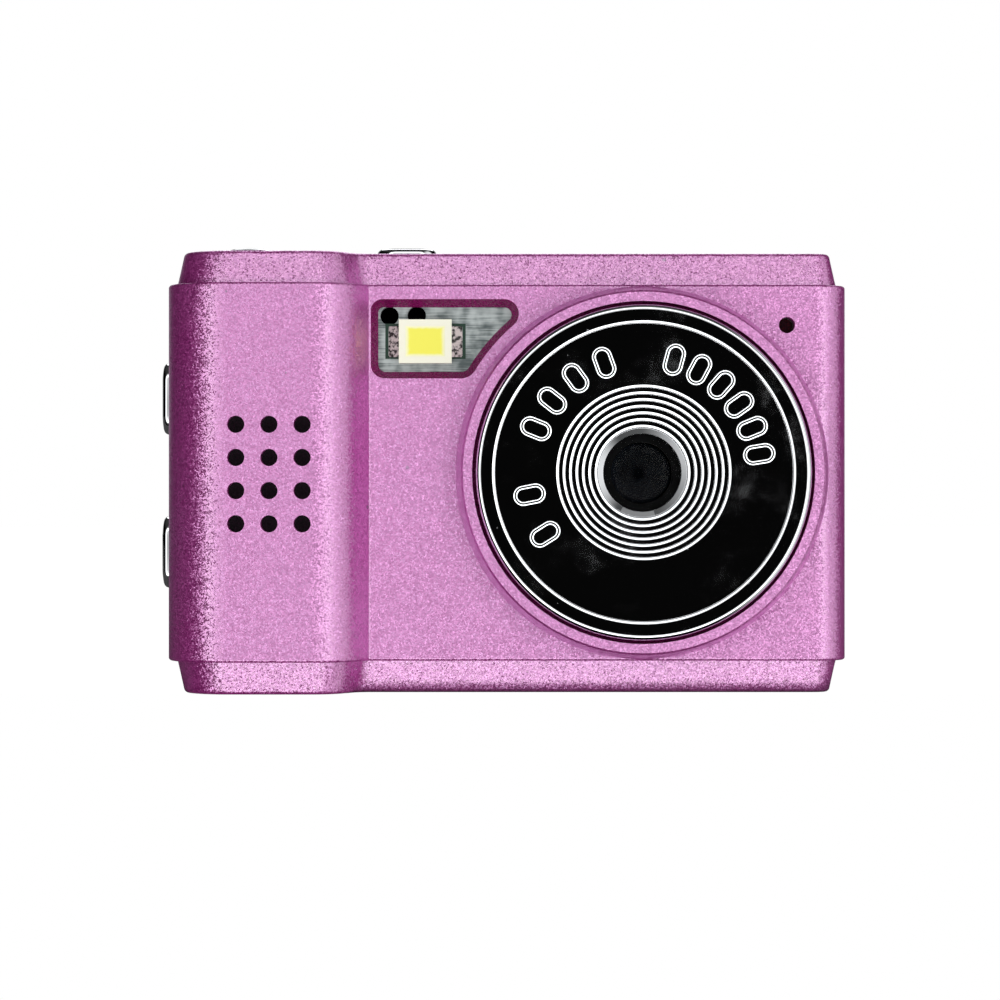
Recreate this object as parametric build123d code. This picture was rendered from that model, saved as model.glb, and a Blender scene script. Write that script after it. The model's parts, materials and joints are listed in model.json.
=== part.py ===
from build123d import *
from math import cos, radians, tan
import os

# Compact digital camera, in millimetres: +X right seen from the front, the front faces -Y, +Z up.
# The origin is the centre of the flat base, half way between the flat front and the rear face.
# Each piece of the camera has its own function, and is written to its own STEP file at the end.

# ---------------------------------------------------------------- overall body
body_w = 42.0           # width over the side walls
body_h = 27.2           # height from the base to the top
body_d = 15.0           # flat front to rear face
grip_out = 2.6          # how far the grip stands in front of the flat front
wall = 1.1              # shell wall
split_y = 4.0           # joint between front and rear shells
left = -body_w / 2
right = body_w / 2
front = -body_d / 2
rear = body_d / 2
mid_z = body_h / 2

grip_w = 10.85          # left side to the grip's virtual front shoulder
grip_slope = 31.8       # grip's inner flank, degrees from the Y axis
grip_r = 3.9            # grip's big outer corner
shoulder_r = 3.4        # grip's inner shoulder
root_r = 0.2            # hollow corner where the grip meets the front
front_r = 2.0           # right front corner
rear_r = 2.0            # rear corners
room_grip_r = 3.0       # corner radii that the room inside is shrunk from: tighter than outside,
room_shoulder_r = 1.6   # so that the speaker and the microphone fit; the wall is thinnest there
room_front_r = 1.6
least_r = 0.15          # no corner gets sharper than this when the outline shrinks

cap_h = 2.0             # height of the stepped top and bottom bands
cap_step = 0.55         # ledge between middle band and cap
cap_draft = 0.45        # further inset of the cap at its outer face
cap_r = 0.3             # round on the cap's outer edge
band_r = 0.18           # round on the middle band's edges

lip_depth = 1.0         # rear shell's lip inside the front shell
lip_root = 1.0          # its root along the rear shell's own wall
lip_t = 0.6
fit_gap = 0.1           # clearance between shells, and of covers in their recesses

# ---------------------------------------------------------------- lens front
lens_x = right - 12.7
lens_z = mid_z
boss_r = 11.5
boss_draft = 0.35
boss_out = 2.2          # boss rim in front of the flat front
boss_edge_r = 0.12
bezel_r = 10.24
bezel_gap = 0.23
bezel_proud = 0.6       # bezel's lip in front of the boss rim
bezel_t = 2.1
lip_in_r = 9.11         # inner radius of the bezel's raised lip
lip_land = 0.29         # chamfered land on the lip's inner side
lip_rise = 0.25
funnel_r = 5.3
aperture_r = 2.4
funnel_steps = 7
step_depth = 0.3
hub_r = 5.5
hub_len = 1.4           # hub behind the bezel's seat
hub_gap = 0.1
window_r = 3.3
window_t = 0.6
mark_r_mid = 7.1        # raised marks on the bezel: middle radius
mark_long = 2.0
mark_wide = 1.25
mark_line = 0.26
mark_rise = 0.15
mark_groups = ((191.0, 212.0, 2), (110.0, 158.0, 4), (9.0, 75.0, 6))

# ---------------------------------------------------------------- front openings
flash_left = left + 12.55
flash_top = body_h - 2.89
flash_bottom = flash_top - 4.89
flash_gap_r = 0.58      # land between the boss and the window's curved edge
flash_draft = 22.0      # window's wall, degrees
flash_corner_r = (0.75, 0.9, 1.0, 0.9)
speaker_x = left + 6.47
speaker_z = mid_z - 0.1
grille_pitch = 2.02
grille_r = 0.525
grille_cols = 3
grille_rows = 4
mic_x = right - 3.76
mic_z = body_h - 4.49
mic_hole_r = 0.5

# ---------------------------------------------------------------- buttons and switches
button_y = 1.1          # all four buttons sit over the main board's switches
shutter_x = left + 4.5
shutter_size = (2.9, 2.9)
mode_x = left + 14.56
mode_size = (3.8, 2.4)
power_z = mid_z + 4.82
menu_z = mid_z - 5.02
side_size = (4.6, 2.4)
top_proud = 0.9
side_proud = 1.15
button_edge_r = 0.4
button_gap = 0.1        # round the button in its hole
flange_out = 0.3
flange_t = 0.6
flange_gap = 0.05
switch_w = 3.5          # switch housing: width, height over the board, depth
switch_h = 3.0
switch_d = 2.2
switch_back = 0.85      # flange's inner face to the housing
plunger_w = 1.3
plunger_t = 0.9
plunger_in = 0.7        # plunger's length inside the housing
pocket_in = 1.1
plunger_gap = 0.05

# ---------------------------------------------------------------- main board and case screws
board_front = 2.6
board_t = 1.0
board_edge = 1.9        # board's side edge to the shell's inner face
low_screw_side = 4.5    # screw axes from the case's sides, base and top
low_screw_up = 4.1
high_screw_side = 9.2
high_screw_down = 3.8
screw_r = 0.7
screw_gap = 0.1         # shank in the rear boss and the board
pilot_gap = 0.02
post_r = 1.3
head_r = 1.2
head_t = 0.8
head_gap = 0.15
head_sink = 0.25        # head below the rear face
screw_len = 7.0
cross_long = 1.5        # cross recess in the head
cross_wide = 0.36
cross_deep = 0.4

# ---------------------------------------------------------------- display and its window
panel_w = 27.95
panel_h = 13.5
panel_t = 1.5
active_w = 21.7
active_h = 10.86
view_margin = 0.75      # opening in the rear wall round the active area
screen_w = 29.0
screen_h = 16.0
screen_r = 1.2
screen_t = 0.5
screen_sink = 0.6
frame_wall = 0.8
frame_shelf = 1.0
panel_gap = 0.1

# ---------------------------------------------------------------- battery, speaker, sound
battery_side = 4.0      # case's left side to the cell
battery_w = 16.5
battery_h = 15.8
battery_up = 0.1        # cell's middle over the case's middle
battery_t = 4.0
battery_r = 0.8
speaker_w = 7.4
speaker_h = 12.0
speaker_t = 2.5
cloth_t = 0.2
pad_t = 0.9
tray_t = 0.7
tray_rim = 0.25
tray_lip = 2.0
tray_gap = 0.05
tray_leg_r = 1.0
mic_r = 1.5
mic_t = 1.2
boot_r = 2.1
boot_t = 0.4

# ---------------------------------------------------------------- camera module
sensor_board_back = -0.8
sensor_board_t = 0.6
sensor_board_w = 16.2
sensor_board_h = 9.0
module_post_x = 6.8
module_post_r = 1.1
module_screw_r = 0.5
module_head_r = 1.0
module_head_t = 0.5
module_screw_len = 2.6
holder_w = 8.5
holder_d = 2.4
holder_neck_r = 4.1
holder_neck_d = 1.6
holder_room = 6.5
holder_room_d = 1.3
holder_hole_r = 1.8
barrel_r = 3.2
barrel_gap = 0.04
barrel_front = -6.5
barrel_stop = 0.4
barrel_front_r = 1.9
glass_r = 2.3
filter_w = 4.2
filter_t = 0.3
chip_w = 5.6
chip_h = 5.0
chip_t = 0.9

# ---------------------------------------------------------------- LED board
led_board_t = 0.8
led_board_w = 11.1
led_board_left = 1.05   # board's margins outside the window
led_board_under = 0.52
led_board_over = 0.19
led_x = flash_left + 3.37
led_z = flash_top - 2.58
led_w = 3.26
led_h = 2.7
led_t = 0.8
phosphor_w = 2.45
phosphor_h = 1.89
phosphor_deep = 0.4
phosphor_sink = 0.05
solder_w = 0.66
solder_h = 1.9
solder_t = 0.3
led_hole_r = 0.57
led_holes = ((led_x - 2.23, led_z + 1.6), (led_x - 0.54, led_z + 1.63))

# ---------------------------------------------------------------- sockets on the right
usb_down = 2.7          # case's top to the socket
usb_w = 7.5
usb_h = 2.6
usb_d = 5.6
usb_shell = 0.3
usb_port = (7.9, 3.0)
tongue_h = 0.6
tongue_w = 5.0
tongue_d = 3.8
card_up = 5.5           # base to the socket
card_w = 11.4
card_h = 1.42
card_d = 12.0
card_shell = 0.15
card_room_h = 0.85
card_port = (11.4, 1.3)

# ---------------------------------------------------------------- strap pin and status light
strap_room = (2.6, 2.6, 5.2)
strap_wall = 0.8
strap_pin_r = 0.5
strap_pin_in = 0.5
status_x = right - 4.0
status_z = body_h - 5.6
status_r = 0.6
status_gap = 0.05
status_flange_r = 1.1
status_flange_t = 0.5

lead_r = 0.28
flex_t = 0.2
flex_w = 3.6

# ---------------------------------------------------------------- worked out from the sizes above
grip_front = front - grip_out
board_back = board_front + board_t
front_in = front + wall
rear_in = rear - wall
side_in = body_w / 2 - wall
cap_in = cap_step + cap_draft + wall
band_low = cap_h + cap_step
band_high = body_h - band_low
boss_front = front - boss_out
bezel_front = boss_front - bezel_proud
bezel_seat = bezel_front + bezel_t
hub_back = bezel_seat + hub_len
bezel_face = bezel_front + lip_rise
sensor_board_front = sensor_board_back - sensor_board_t
holder_front = sensor_board_front - holder_d
speaker_front = grip_front + wall + cloth_t
speaker_back = speaker_front + speaker_t
battery_x = (left + battery_side, left + battery_side + battery_w)
battery_z = (mid_z + battery_up - battery_h / 2, mid_z + battery_up + battery_h / 2)
battery_front = speaker_back + pad_t
battery_back = battery_front + battery_t
screw_seat = rear - head_t - head_sink
led_board_x = (flash_left - led_board_left, flash_left - led_board_left + led_board_w)
led_board_z = (flash_bottom - led_board_under, flash_top + led_board_over)
usb_z = (body_h - usb_down - usb_w, body_h - usb_down)
card_z = (card_up, card_up + card_w)
tray_legs = (
    (battery_x[0] + battery_w * 0.45, battery_z[0] + 2.2),
    (battery_x[0] + battery_w * 0.45, battery_z[1] - 2.6),
    (battery_x[1] - 1.9, mid_z),
)
screw_places = (
    (left + low_screw_side, low_screw_up),
    (right - low_screw_side, low_screw_up),
    (left + high_screw_side, body_h - high_screw_down),
    (right - high_screw_side, body_h - high_screw_down),
)


# ---------------------------------------------------------------- small helpers
def block(x0, x1, y0, y1, z0, z1):
    """Box between two limits on each axis."""
    centre = ((x0 + x1) / 2, (y0 + y1) / 2, (z0 + z1) / 2)
    return Pos(*centre) * Box(x1 - x0, y1 - y0, z1 - z0)


def rod_y(x, z, radius, y0, y1):
    """Cylinder along Y from y0 to y1."""
    return Pos(x, (y0 + y1) / 2, z) * Rot(90, 0, 0) * Cylinder(radius, y1 - y0)


def facing_front(y, x=0.0, z=0.0):
    """Plane at depth y that faces the front: local x is +X, local y is +Z, normal is -Y."""
    return Plane(origin=(x, y, z), x_dir=(1, 0, 0), z_dir=(0, -1, 0))


def turned(profile):
    """Solid of revolution about the lens axis, from (radius, y) points."""
    face = make_face(Polyline(*profile, close=True))
    return Pos(lens_x, 0, lens_z) * revolve(face, Axis.Y)


def outline(inset, room=False):
    """Plan outline of the body with its grip, every side moved inwards by inset."""
    slope = radians(grip_slope)
    shift = inset * (1 / cos(slope) - tan(slope))
    shoulder_x = left + grip_w
    root_x = shoulder_x + grip_out * tan(slope)
    corners = (
        (left + inset, rear - inset),
        (left + inset, grip_front + inset),
        (shoulder_x - shift, grip_front + inset),
        (root_x - shift, front + inset),
        (right - inset, front + inset),
        (right - inset, rear - inset),
    )
    radii = (
        rear_r - inset,
        (room_grip_r if room else grip_r) - inset,
        (room_shoulder_r if room else shoulder_r) - inset,
        root_r + inset,
        (room_front_r if room else front_r) - inset,
        rear_r - inset,
    )
    return make_face(FilletPolyline(*corners, radius=[max(r, least_r) for r in radii], close=True))


def prism(inset, z0, z1, room=False):
    """Upright prism on the outline."""
    return extrude(Pos(0, 0, z0) * outline(inset, room), z1 - z0)


def lead(*points, bend):
    """Insulated wire along straight runs joined by tangent arcs."""
    path = FilletPolyline(*points, radius=bend)
    start = Plane(origin=path @ 0, z_dir=path % 0)
    return sweep(start * Circle(lead_r), path)


# ---------------------------------------------------------------- shells
def outer_cap():
    """Bottom cap: drafted band under the ledge, rounded at its outer edge."""
    top = Pos(0, 0, cap_h) * outline(cap_step)
    bottom = outline(cap_step + cap_draft)
    cap = loft([bottom, top], ruled=True)
    rim = cap.faces().sort_by(Axis.Z)[0].edges()
    return fillet(rim, cap_r)


def outer_body():
    """Outside of the whole case as one solid, with the lens boss."""
    band = prism(0, cap_h, body_h - cap_h)
    rims = band.faces().sort_by(Axis.Z)
    band = fillet(rims[0].edges() + rims[-1].edges(), band_r)
    low = outer_cap()
    high = Pos(0, 0, body_h) * mirror(low, Plane.XY)
    joint = prism(cap_step + cap_draft, cap_h / 2, body_h - cap_h / 2)
    boss = turned((
        (0, front_in),
        (boss_r, front_in),
        (boss_r, front),
        (boss_r - boss_draft, boss_front + boss_edge_r),
        (boss_r - boss_draft - boss_edge_r, boss_front),
        (0, boss_front),
    ))
    return band + low + high + joint + boss


def cavity():
    """Room inside the walls: the middle band's room and the narrower room inside the caps."""
    return prism(wall, band_low, band_high, True) + prism(cap_in, wall, body_h - wall, True)


def lip_section(inset):
    """Cavity section seen along Y, shrunk by inset."""
    plane = Plane(origin=(0, 0, mid_z), x_dir=(1, 0, 0), z_dir=(0, 1, 0))
    wide = Rectangle(2 * (side_in - inset), band_high - band_low - 2 * inset)
    tall = Rectangle(body_w - 2 * (cap_in + inset), body_h - 2 * (wall + inset))
    return plane * (wide + tall)


def post_y(x, z, radius, y0, y1):
    """Screw post along Y, kept inside the outside of the case."""
    return rod_y(x, z, radius, y0, y1) & prism(cap_step + cap_draft, wall / 2, body_h - wall / 2)


def flash_window():
    """Drafted LED window: its curved edge runs at a constant land round the boss."""
    low_left = (flash_left, flash_bottom)
    sheet = Pos(*low_left) * Rectangle(lens_x - flash_left, flash_top - flash_bottom, align=Align.MIN)
    sheet -= Pos(lens_x, lens_z) * Circle(boss_r + flash_gap_r)
    corners = sheet.vertices().sort_by(Axis.X)
    left_pair = corners[:2].sort_by(Axis.Y)
    right_pair = corners[2:].sort_by(Axis.Y)
    top_left, bottom_left, bottom_right, top_right = flash_corner_r
    sheet = fillet(left_pair[1], top_left)
    sheet = fillet(sheet.vertices().sort_by_distance((flash_left, flash_bottom))[0], bottom_left)
    sheet = fillet(sheet.vertices().sort_by_distance((right_pair[0].X, flash_bottom))[0], bottom_right)
    sheet = fillet(sheet.vertices().sort_by_distance((right_pair[1].X, flash_top))[0], top_right)
    opening = facing_front(front) * sheet
    return extrude(opening, -wall, taper=flash_draft)


def grille_places():
    """Centres of the speaker's sound holes."""
    places = []
    for column in range(grille_cols):
        for row in range(grille_rows):
            x = speaker_x + (column - (grille_cols - 1) / 2) * grille_pitch
            z = speaker_z + (row - (grille_rows - 1) / 2) * grille_pitch
            places.append((x, z))
    return places


def pill(size, grow):
    """Outline of a button: a slot, or a circle if both sizes are equal."""
    long, wide = size
    if long == wide:
        return Circle(wide / 2 + grow)
    return SlotOverall(long + 2 * grow, wide + 2 * grow)


def top_plane(x, z):
    """Plane over a top button: local x is +X, normal is +Z."""
    return Plane(origin=(x, button_y, z), x_dir=(1, 0, 0), z_dir=(0, 0, 1))


def side_plane(x, z):
    """Plane beside a side button: local x is +Z, normal is -X."""
    return Plane(origin=(x, button_y, z), x_dir=(0, 0, 1), z_dir=(-1, 0, 0))


button_sites = {
    "shutter": (top_plane(shutter_x, body_h), shutter_size, top_proud),
    "mode": (top_plane(mode_x, body_h), mode_size, top_proud),
    "power": (side_plane(left, power_z), side_size, side_proud),
    "menu": (side_plane(left, menu_z), side_size, side_proud),
}


def shell():
    """Whole hollow case before it is parted at split_y."""
    case = outer_body() - cavity()
    case -= turned((
        (0, boss_front - 1),
        (bezel_r + bezel_gap, boss_front - 1),
        (bezel_r + bezel_gap, bezel_seat),
        (hub_r + hub_gap, bezel_seat),
        (hub_r + hub_gap, front_in + wall),
        (0, front_in + wall),
    ))
    case -= flash_window()
    for x, z in grille_places():
        case -= rod_y(x, z, grille_r, grip_front - 1, grip_front + 2 * wall)
    case -= rod_y(mic_x, mic_z, mic_hole_r, front - 1, front + 2 * wall)
    for plane, size, _ in button_sites.values():
        case -= extrude(plane * pill(size, button_gap), wall, both=True)
    return case


def front_cover():
    """Front shell: grip, lens boss, board posts, side ports."""
    cover = shell() & block(left - 1, right + 1, grip_front - grip_out, split_y, -1, body_h + 1)
    for x, z in screw_places:
        depth = grip_front if x < left + grip_w else front
        cover += post_y(x, z, post_r, depth + wall / 2, board_front)
        cover -= rod_y(x, z, screw_r + pilot_gap, screw_seat - screw_len - fit_gap, board_front)
    for side in (-1, 1):
        x = lens_x + side * module_post_x
        cover += rod_y(x, lens_z, module_post_r, front_in - wall / 2, sensor_board_front)
        pilot_y = sensor_board_front - module_screw_len
        cover -= rod_y(x, lens_z, module_screw_r + pilot_gap, pilot_y, sensor_board_front)
    usb_long, usb_tall = usb_port
    usb_mid = board_front - usb_h / 2
    usb_hole = RectangleRounded(usb_tall, usb_long, usb_tall / 4)
    usb_plane = Plane(origin=(right, usb_mid, sum(usb_z) / 2), x_dir=(0, 1, 0), z_dir=(1, 0, 0))
    cover -= extrude(usb_plane * usb_hole, wall + fit_gap, both=True)
    card_long, card_tall = card_port
    card_hole = RectangleRounded(card_tall, card_long, card_tall / 4)
    card_mid = board_front - card_h / 2
    card_plane = Plane(origin=(right, card_mid, sum(card_z) / 2), x_dir=(0, 1, 0), z_dir=(1, 0, 0))
    cover -= extrude(card_plane * card_hole, wall + fit_gap, both=True)
    return cover


def rear_cover():
    """Rear shell: lip, screw bosses, display recess, strap pocket, status light hole."""
    cover = shell() & block(left - 1, right + 1, split_y, rear + 1, -1, body_h + 1)
    ring = lip_section(fit_gap) - lip_section(fit_gap + lip_t)
    root = lip_section(-fit_gap) - lip_section(fit_gap + lip_t)
    cover += Pos(0, split_y - lip_depth, 0) * extrude(ring, lip_depth + fit_gap)
    cover += Pos(0, split_y, 0) * extrude(root, lip_root)
    for x, z in screw_places:
        cover += post_y(x, z, head_r + head_gap + wall / 2, board_back, rear)
        cover -= rod_y(x, z, screw_r + screw_gap, board_back - 1, rear)
        cover -= rod_y(x, z, head_r + head_gap, screw_seat, rear + 1)
    middle = facing_front(rear + 1, 0, mid_z)
    recess = RectangleRounded(screen_w + 2 * fit_gap, screen_h + 2 * fit_gap, screen_r + fit_gap)
    cover -= extrude(middle * recess, screen_sink + 1)
    view = RectangleRounded(active_w + 2 * view_margin, active_h + 2 * view_margin, view_margin)
    cover -= extrude(middle * view, wall + 2)
    cover += strap_pocket()
    cover -= strap_room_box()
    cover -= strap_pin()
    cover -= rod_y(status_x, status_z, status_r + status_gap, rear - 2 * wall, rear + 1)
    return cover


def strap_room_box():
    """Open corner room that the strap's loop passes through."""
    dx, dy, dz = strap_room
    return block(right - dx, right + 1, rear - dy, rear + 1, mid_z - dz / 2, mid_z + dz / 2)


def strap_pocket():
    """Walls round the strap's room, with the corner as round as the case."""
    dx, dy, dz = strap_room
    half = dz / 2 + strap_wall
    x0 = right - dx - strap_wall
    walls = block(x0, right, rear - dy - strap_wall, rear, mid_z - half, mid_z + half)
    return walls & prism(0, cap_h, body_h - cap_h)


def strap_pin():
    """Steel pin pressed upright across the corner room."""
    dx, dy, dz = strap_room
    long = dz + 2 * strap_pin_in
    return Pos(right - dx / 2, rear - dy / 2, mid_z) * Cylinder(strap_pin_r, long)


def case_screws():
    """Four pan-head screws that clamp the shells and the main board."""
    screws = []
    for x, z in screw_places:
        head = rod_y(x, z, head_r, screw_seat, screw_seat + head_t)
        head = fillet(head.edges().sort_by(Axis.Y)[-1], head_t / 3)
        floor = screw_seat + head_t - cross_deep
        for dx, dz in ((cross_long / 2, cross_wide / 2), (cross_wide / 2, cross_long / 2)):
            head -= block(x - dx, x + dx, floor, rear, z - dz, z + dz)
        screws.append(head + rod_y(x, z, screw_r, screw_seat - screw_len, screw_seat))
    return Compound(children=screws)


# ---------------------------------------------------------------- lens front
def lens_bezel():
    """Chrome bezel: raised lip, flat ring with raised marks, stepped funnel, hub with a window seat."""
    tread = (funnel_r - aperture_r) / funnel_steps
    steps = []
    for index in range(funnel_steps):
        radius = funnel_r - index * tread
        depth = bezel_face + index * step_depth
        steps += [(radius, depth), (radius, depth + step_depth)]
    throat = bezel_face + funnel_steps * step_depth
    window_front = hub_back - window_t
    chamfer = lip_rise / 2
    profile = [
        (bezel_r, bezel_seat),
        (bezel_r, bezel_front + chamfer),
        (bezel_r - chamfer, bezel_front),
        (lip_in_r + lip_land, bezel_front),
        (lip_in_r, bezel_face),
        *steps,
        (aperture_r, throat),
        (aperture_r, window_front),
        (window_r + pilot_gap, window_front),
        (window_r + pilot_gap, hub_back),
        (hub_r, hub_back),
        (hub_r, bezel_seat),
    ]
    bezel = turned(profile)
    face = facing_front(bezel_face, lens_x, lens_z)
    mark = SlotOverall(mark_long, mark_wide)
    mark -= SlotOverall(mark_long - 2 * mark_line, mark_wide - 2 * mark_line)
    for start, stop, count in mark_groups:
        for index in range(count):
            angle = start + (stop - start) * index / (count - 1)
            bezel += extrude(face * Rot(0, 0, angle) * Pos(mark_r_mid, 0) * mark, mark_rise)
    return bezel


def lens_window():
    """Clear disc behind the bezel's aperture."""
    return rod_y(lens_x, lens_z, window_r, hub_back - window_t, hub_back)


# ---------------------------------------------------------------- camera module
def lens_barrel():
    """Threaded barrel that holds the two lens elements."""
    back = holder_front
    return turned((
        (barrel_front_r, barrel_front),
        (barrel_r, barrel_front),
        (barrel_r, back),
        (glass_r + pilot_gap, back),
        (glass_r + pilot_gap, barrel_front + barrel_stop),
        (barrel_front_r, barrel_front + barrel_stop),
    ))


def dome_lens(flat_y, thick, bulge):
    """Plano-convex element: flat at the rear, bulging to the front."""
    disc = rod_y(lens_x, lens_z, glass_r, flat_y - thick + bulge, flat_y)
    ball_r = (barrel_front_r ** 2 + bulge ** 2) / (2 * bulge)
    ball = Pos(lens_x, flat_y - thick + ball_r, lens_z) * Sphere(ball_r)
    cap = ball & rod_y(lens_x, lens_z, barrel_front_r - pilot_gap, flat_y - thick, flat_y)
    return disc + cap


front_lens_t = 1.2
front_lens_bulge = 0.3
rear_lens_t = 0.7
spacer_t = 0.3
front_lens_back = barrel_front + barrel_stop + front_lens_t - front_lens_bulge
rear_lens_back = front_lens_back + spacer_t + rear_lens_t


def front_lens():
    """Front glass element, seated against the barrel's stop."""
    return dome_lens(front_lens_back, front_lens_t, front_lens_bulge)


def lens_spacer():
    """Black ring between the two elements."""
    ring = rod_y(lens_x, lens_z, glass_r, front_lens_back, front_lens_back + spacer_t)
    return ring - rod_y(lens_x, lens_z, barrel_front_r, front_lens_back - 1, front_lens_back + 1)


def rear_lens():
    """Rear glass element."""
    return rod_y(lens_x, lens_z, glass_r, rear_lens_back - rear_lens_t, rear_lens_back)


def lens_holder():
    """Moulded holder on the sensor board: neck for the barrel, seat for the filter, room for the sensor."""
    half = holder_w / 2
    x0, z0 = lens_x - half, lens_z - half
    body = block(x0, x0 + holder_w, holder_front, sensor_board_front, z0, z0 + holder_w)
    body = fillet(body.edges().filter_by(Axis.Y), holder_w / 12)
    body += rod_y(lens_x, lens_z, holder_neck_r, holder_front - holder_neck_d, holder_front)
    body -= rod_y(lens_x, lens_z, barrel_r + barrel_gap, holder_front - holder_neck_d, holder_front)
    body -= rod_y(lens_x, lens_z, holder_hole_r, holder_front - 1, sensor_board_front)
    room = holder_room / 2
    room_y = sensor_board_front - holder_room_d
    body -= block(lens_x - room, lens_x + room, room_y, sensor_board_front, lens_z - room, lens_z + room)
    seat = filter_w / 2 + fit_gap
    body -= block(lens_x - seat, lens_x + seat, room_y - filter_t, room_y, lens_z - seat, lens_z + seat)
    return body


def infrared_filter():
    """Thin square filter glass in its seat in the holder."""
    half = filter_w / 2
    y1 = sensor_board_front - holder_room_d
    return block(lens_x - half, lens_x + half, y1 - filter_t, y1, lens_z - half, lens_z + half)


def image_sensor():
    """Sensor package on the sensor board."""
    dx, dz = chip_w / 2, chip_h / 2
    y0 = sensor_board_front - chip_t
    return block(lens_x - dx, lens_x + dx, y0, sensor_board_front, lens_z - dz, lens_z + dz)


def sensor_board():
    """Small board that carries sensor and holder, screwed to two posts of the front shell."""
    dx, dz = sensor_board_w / 2, sensor_board_h / 2
    board = block(lens_x - dx, lens_x + dx, sensor_board_front, sensor_board_back, lens_z - dz, lens_z + dz)
    for side in (-1, 1):
        x = lens_x + side * module_post_x
        board -= rod_y(x, lens_z, module_screw_r + screw_gap, sensor_board_front - 1, sensor_board_back + 1)
    return board


def module_screws():
    """Two screws that hold the sensor board."""
    screws = []
    for side in (-1, 1):
        x = lens_x + side * module_post_x
        head = rod_y(x, lens_z, module_head_r, sensor_board_back, sensor_board_back + module_head_t)
        slot = module_head_t / 2
        head -= block(x - module_head_r, x + module_head_r, sensor_board_back + slot,
                      sensor_board_back + 1, lens_z - slot / 2, lens_z + slot / 2)
        shank_y = sensor_board_back - module_screw_len
        screws.append(head + rod_y(x, lens_z, module_screw_r, shank_y, sensor_board_back))
    return Compound(children=screws)


flex_x = lens_x - 3.3
flex_top = lens_z - 2.0
flex_bend = 1.0
flex_drop = lens_z - 5.6
connector_z = (lens_z - 9.2, lens_z - 7.2)
connector_h = 1.2
connector_w = 5.0


def camera_connector():
    """Flat-cable connector on the main board."""
    z0, z1 = connector_z
    dx = connector_w / 2
    y0 = board_front - connector_h
    body = block(flex_x - dx, flex_x + dx, y0, board_front, z0, z1)
    slot_y = board_front - connector_h / 2
    half = flex_t / 2 + pilot_gap
    deep = z0 + (z1 - z0) / 2
    slot_x = flex_w / 2 + fit_gap
    return body - block(flex_x - slot_x, flex_x + slot_x, slot_y - half, slot_y + half, deep, z1 + 1)


def camera_flex():
    """Flat cable from the back of the sensor board down to the connector."""
    y0 = sensor_board_back + flex_t / 2
    y1 = board_front - connector_h / 2
    end_z = sum(connector_z) / 2 + fit_gap
    path = FilletPolyline((y0, flex_top), (y0, flex_drop), (y1, flex_drop), (y1, end_z), radius=flex_bend)
    ribbon = trace(path, flex_t)
    plane = Plane(origin=(flex_x - flex_w / 2, 0, 0), x_dir=(0, 1, 0), z_dir=(1, 0, 0))
    return extrude(plane * ribbon, flex_w)


# ---------------------------------------------------------------- boards and sockets
def main_board():
    """Main circuit board across the case, clamped by the four case screws."""
    half = side_in - board_edge
    board = block(-half, half, board_front, board_back, band_low, band_high)
    for x, z in screw_places:
        board -= rod_y(x, z, screw_r + screw_gap, board_front - 1, board_back + 1)
    return board


processor_w = 7.0
processor_t = 0.9
processor_x = -5.5
memory_size = (6.0, 8.0)
memory_x = 4.5
crystal_size = (3.2, 2.5, 0.8)
crystal_place = (left + 8.4, mid_z)


def processor_chip():
    """Image processor on the back of the main board, behind the display."""
    half = processor_w / 2
    y1 = board_back + processor_t
    return block(processor_x - half, processor_x + half, board_back, y1, mid_z - half, mid_z + half)


def memory_chip():
    """Memory on the back of the main board, beside the processor."""
    dx, dz = memory_size[0] / 2, memory_size[1] / 2
    y1 = board_back + processor_t
    return block(memory_x - dx, memory_x + dx, board_back, y1, mid_z - dz, mid_z + dz)


def crystal():
    """Clock crystal on the front of the main board."""
    dx, dz, tall = crystal_size[0] / 2, crystal_size[1] / 2, crystal_size[2]
    x, z = crystal_place
    return block(x - dx, x + dx, board_front - tall, board_front, z - dz, z + dz)


part_size = (1.6, 0.8, 0.8)
part_rows = ((left + 15.0, 5), (left + 22.4, 3))
part_z = mid_z - 3.0
part_pitch = 1.5


def chip_capacitors():
    """Two rows of small capacitors on the front of the main board."""
    parts = []
    long, wide, tall = part_size
    for x, count in part_rows:
        for index in range(count):
            z = part_z + index * part_pitch
            parts.append(block(x, x + long, board_front - tall, board_front, z, z + wide))
    return Compound(children=parts)


def usb_socket():
    """Folded steel shell of the charging and data socket, open to the right."""
    z0, z1 = usb_z
    x0 = side_in - usb_d
    shell_box = block(x0, side_in, board_front - usb_h, board_front, z0, z1)
    t = usb_shell
    inside = block(x0 + t, side_in + 1, board_front - usb_h + t, board_front - t, z0 + t, z1 - t)
    return fillet(shell_box.edges().filter_by(Axis.X), t) - inside


def usb_tongue():
    """Plastic tongue with the contacts inside the socket."""
    x0 = side_in - usb_d + usb_shell
    mid_y = board_front - usb_h / 2
    mid_z = sum(usb_z) / 2
    return block(x0, x0 + tongue_d, mid_y - tongue_h / 2, mid_y + tongue_h / 2,
                 mid_z - tongue_w / 2, mid_z + tongue_w / 2)


def card_socket():
    """Memory card socket, open to the right."""
    z0, z1 = card_z
    x0 = side_in - card_d
    body = block(x0, side_in, board_front - card_h, board_front, z0, z1)
    mid_y = board_front - card_h / 2
    half = card_room_h / 2
    return body - block(x0 + 4 * card_shell, side_in + 1, mid_y - half, mid_y + half,
                        z0 + card_shell, z1 - card_shell)


# ---------------------------------------------------------------- LED behind its window
def led_board():
    """Board behind the LED window, with two wire holes."""
    board = block(*led_board_x, front_in, front_in + led_board_t, *led_board_z)
    for x, z in led_holes:
        board -= rod_y(x, z, led_hole_r, front_in - 1, front_in + 2 * led_board_t)
    return board


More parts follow.
